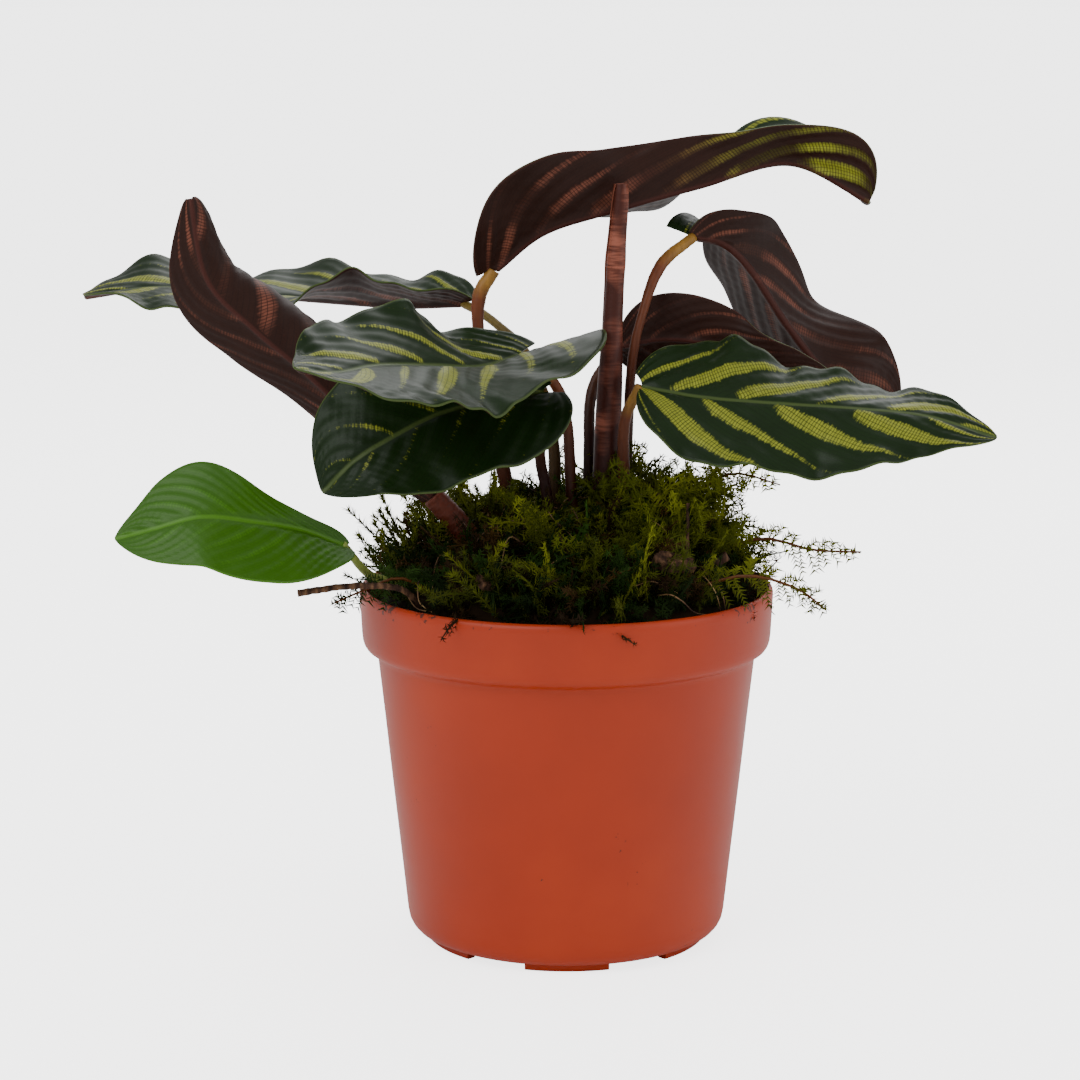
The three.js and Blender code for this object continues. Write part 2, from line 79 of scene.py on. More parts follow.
def ramp(tree, value, stops):
    """A colour ramp over value, with stops as (place, colour or grey)."""
    made = add(tree, "ShaderNodeValToRGB", {"Fac": value})
    elements = made.color_ramp.elements
    while len(elements) < len(stops):
        elements.new(0.5)
    for element, (place, colour) in zip(elements, stops):
        element.position = place
        element.color = tone(colour) if isinstance(colour, str) else [colour] * 3 + [1.0]
    return made.outputs["Color"]


def mixed(tree, amount, first, second, blend="MIX"):
    """One colour over another by amount."""
    colours = [tone(c) if isinstance(c, str) else c for c in (first, second)]
    made = add(
        tree,
        "ShaderNodeMix",
        {"Factor": amount, 6: colours[0], 7: colours[1]},
        data_type="RGBA",
        blend_type=blend,
    )
    return made.outputs[2]


def math_of(tree, operation, *numbers):
    """The result of a Math node over values or sockets."""
    return add(tree, "ShaderNodeMath", dict(enumerate(numbers)), operation=operation).outputs[0]


def eased(tree, value, low, high, start, end):
    """Value from low to high mapped onto start to end, and held at those outside."""
    ends = {"From Min": low, "From Max": high, "To Min": start, "To Max": end}
    return add(tree, "ShaderNodeMapRange", {"Value": value, **ends}).outputs["Result"]


def noise(tree, place, scale, detail, **more):
    """Noise between 0 and 1 over place."""
    inputs = {"Vector": place, "Scale": scale, "Detail": detail, **more}
    return add(tree, "ShaderNodeTexNoise", inputs).outputs["Fac"]


def fibres(tree, place, scale, detail, **more):
    """Noise drawn out into lines; scale has a number for each axis."""
    drawn = add(tree, "ShaderNodeMapping", {"Vector": place, "Scale": scale}).outputs["Vector"]
    return noise(tree, drawn, 1.0, detail, **more)


def here(tree):
    """Position on the piece, in metres."""
    return add(tree, "ShaderNodeTexCoord").outputs["Object"]


def stored(tree, name):
    """A measure stored on the points of the mesh."""
    return add(tree, "ShaderNodeAttribute", attribute_name=name).outputs["Fac"]


def relief(tree, shader, height, strength, distance):
    """Shades the surface as if height raised it, by up to distance in metres."""
    inputs = {"Height": height, "Strength": strength, "Distance": distance}
    made = add(tree, "ShaderNodeBump", inputs)
    tree.links.new(made.outputs["Normal"], shader.inputs["Normal"])


def surface(name, roughness=0.5, **sockets):
    """A new material; returns (material, tree, Principled node)."""
    material = bpy.data.materials.new(name)
    material.use_nodes = True
    tree = material.node_tree
    shader = tree.nodes["Principled BSDF"]
    shader.inputs["Roughness"].default_value = roughness
    for key, value in sockets.items():
        shader.inputs[key.replace("_", " ")].default_value = value
    return material, tree, shader


FLOOR_HALF = 60  # m
FLOOR_GLOW = 3.0  # seen by the camera only
SKY_LIGHT, SKY_GLOW = 0.8, 2.9  # the glow is added for the camera only

floor_paint, tree, shader = surface("floor_matte_white", 0.9)
shader.inputs["Base Color"].default_value = tone("#fbfbfa")
shader.inputs["Emission Color"].default_value = tone("#ffffff")
seen = add(tree, "ShaderNodeLightPath").outputs["Is Camera Ray"]
tree.links.new(math_of(tree, "MULTIPLY", seen, FLOOR_GLOW), shader.inputs["Emission Strength"])
floor_mesh = bpy.data.meshes.new("floor")
square = ((-1, -1), (1, -1), (1, 1), (-1, 1))
floor_corners = [(x * FLOOR_HALF, y * FLOOR_HALF, 0) for x, y in square]
floor_mesh.from_pydata(floor_corners, [], [(0, 1, 2, 3)])
floor = bpy.data.objects.new("floor", floor_mesh)
floor_mesh.materials.append(floor_paint)
bpy.context.collection.objects.link(floor)

world = bpy.data.worlds.new("white_surround")
bpy.context.scene.world = world
world.use_nodes = True
tree = world.node_tree
sky = tree.nodes["Background"].inputs
sky["Color"].default_value = tone("#ffffff")
seen = add(tree, "ShaderNodeLightPath").outputs["Is Camera Ray"]
tree.links.new(math_of(tree, "MULTIPLY_ADD", seen, SKY_GLOW, SKY_LIGHT), sky["Strength"])

PLANT_MIDDLE = (0.0, 0.0, 0.13)  # m, what the panels face


def panel(name, place, size, power):
    """A soft square light that faces the middle of the plant."""
    lamp = bpy.data.lights.new(name, "AREA")
    lamp.size = size
    lamp.energy = power
    made = bpy.data.objects.new(name, lamp)
    made.location = place
    aim = np.array(PLANT_MIDDLE) - np.array(place)
    made.rotation_euler = (
        math.atan2(math.hypot(aim[0], aim[1]), -aim[2]),
        0,
        math.atan2(aim[1], aim[0]) - math.pi / 2,
    )
    bpy.context.collection.objects.link(made)


panel("key_panel", (-0.55, -0.65, 0.85), 0.7, 7)
panel("side_panel", (0.9, -0.35, 0.45), 0.7, 2.5)
panel("back_panel", (0.2, 0.8, 0.8), 0.8, 4)

CAMERA_PLACE = (-7, -785, 249.5)  # mm
CAMERA_DIP = 10.29  # degrees below level

lens = bpy.data.cameras.new("camera")
lens.lens = 100.2
lens.sensor_width = 36
camera = bpy.data.objects.new("camera", lens)
camera.location = placed(CAMERA_PLACE)
camera.rotation_euler = (math.radians(90 - CAMERA_DIP), 0, 0)
bpy.context.collection.objects.link(camera)
bpy.context.scene.camera = camera


# ---- Pot -----------------------------------------------------------------------------------------
# Injection-moulded terracotta-coloured plastic: a thin tapering wall, a stepped collar, a rounded
# rim, low feet and drain holes. The wall is turned smoothly, and the feet are part of the moulding.
def piece(name, points, faces, materials, nodes=(), uv=None, attributes=None):
    """A mesh piece from millimetre points, riding on the root body."""
    mesh = bpy.data.meshes.new(name)
    mesh.from_pydata(placed(points).tolist(), [], [list(map(int, f)) for f in faces])
    for each in materials:
        mesh.materials.append(each)
    if uv is not None:
        layer = mesh.uv_layers.new(name="grown")
        corners = np.zeros(len(mesh.loops), dtype=int)
        mesh.loops.foreach_get("vertex_index", corners)
        layer.data.foreach_set("uv", np.asarray(uv, float)[corners].ravel())
    for key, values in (attributes or {}).items():
        layer = mesh.attributes.new(key, "FLOAT", "POINT")
        layer.data.foreach_set("value", np.asarray(values, float))
    mesh.shade_smooth()
    made = bpy.data.objects.new(name, mesh)
    bpy.context.collection.objects.link(made)
    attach(made, "root")
    if nodes:
        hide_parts(*nodes)
    return made


def turned(profile, segments, closed=True):
    """Points and faces of a profile of (radius, height) turned about the axis."""
    profile = np.asarray(profile, float)
    angle = np.linspace(0, 2 * math.pi, segments, endpoint=False)
    points = np.stack(
        [
            profile[:, 0, None] * np.cos(angle),
            profile[:, 0, None] * np.sin(angle),
            np.broadcast_to(profile[:, 1, None], (len(profile), segments)),
        ],
        axis=-1,
    ).reshape(-1, 3)
    rows = len(profile) if closed else len(profile) - 1
    faces = []
    for i in range(rows):
        a, b = i * segments, ((i + 1) % len(profile)) * segments
        for j in range(segments):
            k = (j + 1) % segments
            faces.append((a + j, a + k, b + k, b + j))
    return points, faces


def pot_plastic():
    """Terracotta plastic: even orange-brown, satin, faint mottling, soil specks near the rim."""
    material, tree, shader = surface("pot_terracotta_plastic", 0.42, Specular_IOR_Level=0.3)
    place = here(tree)
    cloud = noise(tree, place, 26.0, 5.0)
    body = ramp(tree, cloud, [(0.3, "#962a06"), (0.5, "#9d2d08"), (0.72, "#a5330c")])
    height = add(tree, "ShaderNodeSeparateXYZ", {"Vector": place}).outputs["Z"]
    near_rim = eased(tree, height, 0.088, 0.0955, 0.0, 0.2)
    amount = math_of(tree, "ADD", noise(tree, place, 700.0, 3.0), near_rim)
    amount = math_of(tree, "ADD", amount, noise(tree, place, 60.0, 2.0))
    specks = eased(tree, amount, 1.34, 1.4, 0.0, 0.85)
    tree.links.new(mixed(tree, specks, body, "#2a1a12"), shader.inputs["Base Color"])
    rough = ramp(tree, cloud, [(0.3, 0.38), (0.7, 0.5)])
    tree.links.new(rough, shader.inputs["Roughness"])
    relief(tree, shader, noise(tree, place, 1600.0, 2.0), 0.12, 0.0001)
    return material


def shifted(faces, start):
    """Faces renumbered for points that are added after the first start points."""
    return [[start + k for k in face] for face in faces]


# (radius, height): up the outside, over the rim, down the inside and across the floor
POT_PROFILE = [
    (0.01, 2.0), (30, 2.0), (38.3, 2.0), (39.6, 2.2), (40.8, 2.8), (41.7, 3.8), (42.3, 5.0),
    (42.7, 7.0), (44.2, 21), (46.5, 42), (48.4, 60), (50.2, 76.3), (50.35, 77.3), (50.8, 78.0),
    (51.6, 78.5), (52.7, 78.9), (53.4, 79.4), (53.9, 80.2), (54.2, 81.2), (54.4, 83), (54.9, 92.8),
    (54.9, 93.9), (54.7, 94.6), (54.3, 95.1), (53.8, 95.3), (53.3, 95.1), (53.0, 94.5),
    (52.85, 93.6), (52.3, 82.2), (52.0, 80.9), (51.2, 80.0), (49.6, 78.8), (48.9, 77.4),
    (48.8, 76), (41.6, 9), (41.2, 6.5), (40.2, 4.6), (38.2, 3.5), (36, 3.3), (0.01, 3.3),
]
pot_points, pot_faces = turned(POT_PROFILE, 180)
FEET = 6
FOOT_HALF_ARC = math.radians(16.8)
FOOT_STEPS = 13
FOOT_SECTION = ((38.1, 2.4), (38.0, 0.3), (37.7, 0.0), (35.4, 0.0), (35.1, 0.3), (35.0, 2.4))
corners = len(FOOT_SECTION)
foot_points, foot_faces = [], []
for i in range(FEET):
    middle = math.radians(60 * i - 90)
    base = len(pot_points) + len(foot_points)
    for angle in np.linspace(middle - FOOT_HALF_ARC, middle + FOOT_HALF_ARC, FOOT_STEPS + 1):
        foot_points += [(r * math.cos(angle), r * math.sin(angle), z) for r, z in FOOT_SECTION]
    for a in range(FOOT_STEPS):
        for b in range(corners):
            n = (b + 1) % corners
            at = base + a * corners
            foot_faces.append((at + b, at + n, at + corners + n, at + corners + b))
    foot_faces.append([base + b for b in range(corners - 1, -1, -1)])
    foot_faces.append([base + FOOT_STEPS * corners + b for b in range(corners)])
pot = piece(
    "pot_terracotta",
    np.vstack([pot_points, foot_points]),
    [f[::-1] for f in pot_faces] + foot_faces,
    [pot_plastic()],
    ["pot"],
)
pot.data.set_sharp_from_angle(angle=math.radians(50))
HOLES = 6
HOLE_RADIUS, HOLE_RING, HOLE_SIDES = 3.5, 30, 24
hole_points, hole_faces = [], []
for i in range(HOLES):
    angle = math.radians(60 * i + 30)
    ring, walls = turned([(HOLE_RADIUS, -1), (HOLE_RADIUS, 5)], HOLE_SIDES, closed=False)
    ring = ring + np.array([HOLE_RING * math.cos(angle), HOLE_RING * math.sin(angle), 0])
    ends = [range(HOLE_SIDES - 1, -1, -1), range(HOLE_SIDES, 2 * HOLE_SIDES)]
    hole_faces += shifted(walls + ends, len(hole_points))
    hole_points.extend(ring.tolist())
cutter_mesh = bpy.data.meshes.new("drain_cutter")
cutter_mesh.from_pydata(placed(hole_points).tolist(), [], hole_faces)
cutter = bpy.data.objects.new("drain_cutter", cutter_mesh)
bpy.context.collection.objects.link(cutter)
cut = pot.modifiers.new("drain_holes", "BOOLEAN")
cut.operation = "DIFFERENCE"
cut.object = cutter


def settled(obj):
    """Turns an object's modifiers into plain mesh."""
    shaped = bpy.data.meshes.new_from_object(
        obj.evaluated_get(bpy.context.evaluated_depsgraph_get())
    )
    obj.modifiers.clear()
    obj.data = shaped


settled(pot)
bpy.data.objects.remove(cutter)


# ---- Peat ----------------------------------------------------------------------------------------
# Dark moist peat, loosely filled below the rim: a lumpy surface, its crumbs only paler flecks in its
# colour.
def peat_stuff():
    """Peat: near-black brown, fibrous, matte, with paler crumbs."""
    material, tree, shader = surface("peat", 0.95)
    grain = noise(tree, here(tree), 420.0, 6.0)
    colour = ramp(tree, grain, [(0.35, "#120c09"), (0.55, "#2a1c14"), (0.75, "#4b3525")])
    tree.links.new(colour, shader.inputs["Base Color"])
    relief(tree, shader, grain, 0.8, 0.0008)
    return material


def disc(inner, outer, rings, spokes):
    """x and y of a round grid between two radii, and the faces between its rings."""
    radius = np.linspace(inner, outer, rings)[:, None]
    turn = np.linspace(0, 2 * math.pi, spokes, endpoint=False)[None, :]
    faces = []
    for i in range(rings - 1):
        for j in range(spokes):
            a, b, n = i * spokes, (i + 1) * spokes, (j + 1) % spokes
            faces.append((a + j, b + j, b + n, a + n))
    return radius * np.cos(turn), radius * np.sin(turn), faces


peat = peat_stuff()
PEAT_RADIUS, PEAT_HEIGHT = 52.0, 86.2
rings, spokes = 60, 160
px, py, soil_faces = disc(0.2, PEAT_RADIUS, rings, spokes)
lump = (
    1.2 * np.sin(0.5 * px + 1.3) * np.cos(0.45 * py)
    + 0.8 * np.sin(1.1 * px - 0.9 * py)
    + 0.5 * np.sin(2.3 * px + 1.7 * py + 0.4)
    + 0.4 * np.cos(3.1 * py - 1.9 * px)
)
soil_points = np.stack([px, py, PEAT_HEIGHT + lump], -1).reshape(-1, 3)
soil_faces.append(list(range(spokes)))
below, below_faces = turned(
    [(PEAT_RADIUS, 84.0), (48.2, 76), (40.9, 9), (38, 4.0), (0.5, 3.7)], spokes, False
)
offset = len(soil_points)
soil_faces += shifted(below_faces, offset)
last = (rings - 1) * spokes
for j in range(spokes):
    n = (j + 1) % spokes
    soil_faces.append((last + j, offset + j, offset + n, last + n))
piece("peat_fill", np.vstack([soil_points, below]), soil_faces, [peat], ["soil"])


# ---- Leaf blades ---------------------------------------------------------------------------------
# Nine thin living blades. Each is a grown surface between two margins with a sunken midrib, slight
# corrugation along its side veins and a waved margin, dark green above and maroon beneath.
def through(rows, t):
    """A smooth row of numbers passing through every given row, for t from 0 to 1."""
    rows = np.asarray(rows, float)
    last = len(rows) - 1
    place = np.clip(np.atleast_1d(t), 0, 1) * last
    i = np.minimum(place.astype(int), last - 1)
    f = (place - i)[:, None]
    more = np.vstack([2 * rows[0] - rows[1], rows, 2 * rows[-1] - rows[-2]])
    a, b, c, d = more[i], more[i + 1], more[i + 2], more[i + 3]
    square = (2 * a - 5 * b + 4 * c - d) * f**2
    return 0.5 * (2 * b + (c - a) * f + square + (3 * b - a - 3 * c + d) * f**3)


def unit(v):
    """Vectors scaled to length 1."""
    return v / np.maximum(np.linalg.norm(v, axis=-1, keepdims=True), 1e-9)


def grown(leaf, t, s):
    """Points of the blade's middle surface on a grid of t and s, with its half widths in mm."""
    rows = leaf["rows"]
    at = through(rows, t)
    line = [r[:3] for r in rows]
    along = unit(through(line, t + 0.001) - through(line, t - 0.001))
    face = at[:, 3:6]
    face = unit(face - (face * along).sum(1, keepdims=True) * along)
    right = np.cross(along, face)
    base, tip = leaf["ends"]
    widest = base / (base + tip)
    outline = (t / widest) ** base * ((1 - t) / (1 - widest)) ** tip
    k = np.abs(s)[None, :]
    is_right = (s >= 0)[None, :]

    def sided(column):
        return np.where(is_right, at[:, column + 1, None], at[:, column, None])

    width = outline[:, None] * sided(6)
    fold = np.radians(sided(8))
    curl = np.radians(sided(10)) + 0.001
    angle = fold + curl * k
    amount, waves, phase = leaf["ruffle"]
    wave = np.sin(2 * math.pi * waves * t[:, None] + phase + np.where(is_right, 0.0, 2.1))
    wave = wave + 0.35 * np.sin(2 * math.pi * 2.7 * waves * t[:, None] + 1.7 * phase)
    wave = amount * k**2 * np.minimum(outline, 1)[:, None] * wave
    out = (np.sin(angle) - np.sin(fold)) / curl * width - np.sin(angle) * wave
    up = (np.cos(fold) - np.cos(angle)) / curl * width + np.cos(angle) * wave
    lobe = np.where(is_right, leaf["lobe"][1], leaf["lobe"][0])
    back = lobe * k**1.6 * np.maximum(1 - t / 0.35, 0)[:, None] ** 2
    points = at[:, None, :3] + right[:, None] * (out * np.where(is_right, 1, -1))[..., None]
    points = points + face[:, None] * up[..., None] - along[:, None] * back[..., None]
    return points, width


def band_field(t, s, count, fat, reach, shift):
    """(how far inside a pale band, place counted along the run of bands): both in band widths."""
    k = np.abs(s)[None, :]
    side = np.where(s >= 0, 0.5, 0.0)[None, :]
    course = (t[:, None] - 0.36 * k**1.2) * count + side + shift
    which = np.floor(course)
    inside = course - which
    uneven = np.sin(which * 2.4 + side * 3 + shift)
    far = 0.09 * np.sin(which * 4.1 + 1.0 + side)
    window = np.clip((k - 0.02) / 0.22, 0, 1) ** 0.6
    window = window * np.clip((reach + far - k) / 0.62, 0, 1) ** 0.8
    fat = fat * (1 + 0.35 * uneven)
    return fat * window - np.abs(inside - 0.5), course


# Each row, from base to tip: x, y, z of the midrib, the way the upper side faces, half width left
# and right, then in degrees the fold up from the midrib and the further curl, each left and right.
# ruffle is (height in mm, waves, phase), lobe how far each side of the base reaches back, ends how
# blunt base and tip are, and bands (count, half thickness, reach across) for band_field.
LEAVES = {
    "top": {
        "rows": [
            [-19, 8, 178, -0.6, 0.7, 0.3, 20, 22, 70, 0, 0, 10],
            [-6, 8, 188, -0.3, 0.85, 0.4, 20, 25, 60, 0, 0, 10],
            [13, 9, 194, 0, 0.85, 0.4, 19, 17, 55, 0, 0, 25],
            [35, 12, 200, 0, 0.85, 0.45, 22, 14, 60, 0, 0, 30],
            [59, 14, 206, 0.1, 0.7, 0.6, 24, 15, 80, 0, 0, 10],
            [80, 8, 196, 0.5, 0.85, 0.2, 32, 36, 55, 0, 0, 0],
        ],
        "ruffle": (1.6, 2.5, 0.5), "lobe": (3, 5), "ends": (0.5, 0.5), "bands": (6, 0.17, 0.8),
    },
    "right_droop": {
        "rows": [
            [34, 17, 186, -0.2, 0.1, 0.95, 15, 11, 60, 60, 0, 0],
            [42, 19, 184, 0, 0.6, 0.8, 19, 12, 50, 45, 0, 0],
            [50, 22, 176, 0, 1, 0.1, 20, 18, 58, 50, 0, 0],
            [60, 22, 161, 0, 1, 0, 22, 21, 60, 55, 0, 0],
            [72, 20, 147, 0, 1, 0, 24, 27, 50, 25, 0, 0],
            [88, 15, 137, 0, 1, 0, 24, 34, 30, 5, 0, 0],
        ],
        "ruffle": (1.2, 2, 0), "lobe": (8, 2), "ends": (0.5, 0.6), "bands": (6, 0.17, 0.8),
    },
    "right_front": {
        "rows": [
            [19, -14, 150, -0.2, -0.5, 0.85, 30, 20, 5, 0, 0, 0],
            [35, -20, 148, 0, -0.6, 0.8, 27, 22, -5, -5, 0, 0],
            [54, -24, 147, 0, -0.65, 0.75, 20, 22, -14, -5, 0, 0],
            [74, -26, 146, 0.05, -0.65, 0.75, 20, 23, -25, -5, 0, 0],
            [92, -26, 144, 0.1, -0.6, 0.75, 22, 21, -20, -5, 0, 0],
            [110, -24, 138, 0.2, -0.6, 0.7, 20, 20, 0, 0, 0, 0],
        ],
        "ruffle": (2, 3.5, 0), "lobe": (3, 0), "ends": (0.45, 0.75), "bands": (5, 0.25, 0.98),
    },
    "front_left": {
        "rows": [
            [-12, -20, 159, 0.2, -0.2, 0.95, 34, 19, 34, 10, 0, 0],
            [-22, -36, 158, 0.1, -0.2, 0.95, 26, 20, 6, 20, 0, 0],
            [-34, -50, 160, 0.1, -0.2, 0.95, 27, 20, -5, 30, 0, 0],
            [-46, -66, 162, 0.1, -0.2, 0.95, 28, 20, -10, 20, 0, 0],
            [-55, -80, 162, 0, -0.2, 0.95, 26, 22, -8, 15, 0, 0],
            [-64, -90, 164, 0.2, -0.2, 0.95, 22, 20, 0, 0, 0, 0],
        ],
        "ruffle": (2, 3, 1), "lobe": (30, 10), "ends": (0.5, 0.75), "bands": (6, 0.22, 0.8),
    },
    "front_low": {
        "rows": [
            [-6, -24, 150, 0.1, -0.6, 0.8, 26, 18, 10, 10, 0, 0],
            [-20, -36, 149, -0.1, -0.75, 0.6, 24, 17, 5, 0, 0, 0],
            [-32, -44, 147, -0.2, -0.8, 0.5, 22, 18, 5, 0, 0, 0],
            [-43, -48, 142, -0.3, -0.85, 0.4, 21, 23, 5, 5, 0, 0],
            [-53, -50, 136, -0.3, -0.85, 0.4, 20, 26, 5, 5, 0, 0],
            [-61, -50, 128, -0.3, -0.85, 0.4, 20, 24, 0, 0, 0, 0],
        ],
        "ruffle": (1.2, 2.5, 0), "lobe": (5, 4), "ends": (0.5, 0.75), "bands": (5, 0.08, 0.5),
    },
    "left_roll": {
        "rows": [
            [-35, -8, 120, 0.1, 0.9, 0.3, 17, 5, 0, 0, 265, 30],
            [-51, -8, 136, 0.1, 0.9, 0.3, 28, 8, 0, 0, 265, 30],
            [-67, -8, 152, 0.1, 0.9, 0.2, 38, 10, 0, 0, 262, 30],
            [-81, -8, 164, 0.1, 0.9, 0.1, 44, 13, 0, 0, 258, 30],
            [-93, -8, 177, 0.1, 0.9, 0.1, 34, 15, 0, 0, 228, 20],
            [-97, -8, 198, 0.1, 0.9, 0, 20, 8, 0, 0, 180, 20],
        ],
        "ruffle": (0, 2, 0), "lobe": (0, 0), "ends": (0.12, 0.35), "bands": (6, 0.15, 0.7),
    },
    "far_left": {
        "rows": [
            [-28, 30, 167, 0, 0, 1, 22, 22, 25, 25, 0, 0],
            [-45, 36, 166, 0, 0, 1, 24, 24, 28, 22, 0, 0],
            [-66, 40, 167, 0, 0, 1, 24, 24, 12, 14, 0, 0],
            [-90, 40, 169, 0, 0, 1, 24, 24, -6, 10, 0, 0],
            [-112, 36, 171, 0, 0, 1, 24, 24, -8, 12, 0, 0],
            [-131, 30, 169, -0.2, 0, 1, 24, 24, 0, 10, 0, 0],
        ],
        "ruffle": (3, 2.9, 0), "lobe": (4, 4), "ends": (0.5, 0.5), "bands": (6, 0.24, 0.85),
    },
    "young_green": {
        "rows": [
            [-57, -34, 112, 0.4, -0.3, 0.85, 12, 5, 0, 30, 0, 0],
            [-67, -40, 117, 0.1, -0.6, 0.75, 17, 4, 0, 40, 0, 0],
            [-78, -46, 120, -0.1, -0.7, 0.6, 18, 9, 0, 20, 0, 0],
            [-91, -50, 122, -0.2, -0.75, 0.6, 17, 18, 0, 0, 0, 0],
            [-103, -50, 119, -0.2, -0.75, 0.6, 17, 19, 0, 0, 0, 0],
            [-113, -48, 116, -0.2, -0.75, 0.6, 16, 16, 0, 0, 0, 0],
        ],
        "ruffle": (0.6, 2, 0), "lobe": (3, 2), "ends": (0.4, 0.75), "bands": (7, 0.1, 0.9),
    },
    "back_mid": {
        "rows": [
            [14, 15, 157, -0.2, 0.7, 0.6, 18, 14, 10, 20, 0, 0],
            [25, 16, 159, 0, 0.8, 0.5, 20, 14, 0, 10, 0, 20],
            [37, 15, 158, 0.1, 0.8, 0.5, 22, 12, 0, 10, 0, 20],
            [49, 12, 153, 0.2, 0.8, 0.5, 22, 10, 0, 10, 0, 20],
            [61, 8, 150, 0.2, 0.8, 0.5, 20, 11, 0, 10, 0, 20],
            [72, 4, 149, 0.2, 0.8, 0.5, 16, 12, 0, 10, 0, 0],
        ],
        "ruffle": (1, 2.5, 0), "lobe": (2, 0), "ends": (0.5, 0.75), "bands": (6, 0.1, 0.6),
    },
}


def leaf_stuff(
    name, plain, plain_fleck, band, shine_through_band, vein, rim, roughness, shine, soft, least
):
    """Leaf skin: plain colour, paler feathered bands made of fine cross lines, a painted glow of
    light shining through near the top blade's tip, thin veins, a rim.
    """
    material, tree, shader = surface(name, roughness, Specular_IOR_Level=shine)
    grow = add(tree, "ShaderNodeUVMap", uv_map="grown").outputs["UV"]
    inside, veins, edge, tip_shine_through = (stored(tree, name) for name in ("band", "vein", "edge", "tip_shine_through"))
    # grown is in decimetres along and across the blade; swept runs along and across the side veins
    parts = add(tree, "ShaderNodeSeparateXYZ", {"Vector": grow}).outputs
    from_rib = math_of(tree, "ABSOLUTE", math_of(tree, "SUBTRACT", parts["Y"], 0.5))
    mirrored = add(tree, "ShaderNodeCombineXYZ", {"X": parts["X"], "Y": from_rib}).outputs[0]
    swept = add(
        tree, "ShaderNodeMapping", {"Vector": mirrored, "Rotation": (0, 0, math.radians(27))},
        vector_type="TEXTURE",
    ).outputs[0]
    lines = fibres(tree, swept, (150.0, 16.0, 1.0), 2.5, Roughness=0.6)
    wave = {"Vector": swept, "Scale": 40.0, "Distortion": 1.6, "Detail": 1.5}
    ladder = add(tree, "ShaderNodeTexWave", wave).outputs["Fac"]
    feathered = math_of(tree, "MULTIPLY_ADD", lines, 0.22, inside)
    mask = eased(tree, feathered, 0.1 - soft, 0.16, 0.0, 1.0)
    spread = eased(tree, noise(tree, grow, 5.0, 1.0), 0.45, 0.6, least, 1.0)
    mask = math_of(tree, "MULTIPLY", mask, spread)
    ground = mixed(tree, noise(tree, grow, 9.0, 4.0), plain, plain_fleck)
    # Towards the top blade's tip the pale bands turn to a second colour: painted light shining
    # through the thin blade, yellow-green on the underside.
    pale = mixed(tree, tip_shine_through, band, shine_through_band)
    rungs = ramp(tree, ladder, [(0.08, 0.35), (0.42, 1.0)])
    rungs = mixed(tree, 0.5, rungs, ramp(tree, lines, [(0.3, 0.4), (0.6, 1.0)]), "MULTIPLY")
    colour = mixed(tree, mask, ground, mixed(tree, rungs, ground, pale))
    beside = math_of(tree, "PINGPONG", math_of(tree, "MULTIPLY", veins, 8.0), 0.5)
    colour = mixed(tree, eased(tree, beside, 0.04, 0.1, 0.75, 0.0), colour, vein)
    colour = mixed(tree, eased(tree, from_rib, 0.003, 0.008, 0.7, 0.0), colour, rim)
    colour = mixed(tree, eased(tree, edge, 0.975, 0.995, 0.0, 0.8), colour, rim)
    tree.links.new(colour, shader.inputs["Base Color"])
    relief(tree, shader, lines, 0.25, 0.0001)
    return material


leaf_upper = leaf_stuff(
    "leaf_upper", plain="#0a1904", plain_fleck="#132707", band="#858a2a", shine_through_band="#858a2a",
    vein="#0c1a04", rim="#47552a", roughness=0.4, shine=0.15, soft=0.01, least=1.0,
)
# The underside's yellow-green second band colour is painted light shining through the thin blade
# near the top leaf's tip.
leaf_under = leaf_stuff(
    "leaf_underside", plain="#1f0e08", plain_fleck="#2d150d", band="#7a4636", shine_through_band="#868a28",
    vein="#1f0d08", rim="#43201a", roughness=0.5, shine=0.15, soft=0.1, least=0.12,
)
young_upper = leaf_stuff(
    "young_leaf_upper", plain="#2b5205", plain_fleck="#345c08", band="#3a660c", shine_through_band="#3a660c",
    vein="#294f05", rim="#4c7a1c", roughness=0.4, shine=0.2, soft=0.05, least=1.0,
)
young_under = leaf_stuff(
    "young_leaf_underside", plain="#5c5c28", plain_fleck="#66552c", band="#6f6a35",
    shine_through_band="#6f6a35", vein="#4f4c22", rim="#806a40", roughness=0.5, shine=0.2, soft=0.05,
    least=1.0,
)
BLADE_HALF_SKIN = 0.24  # mm


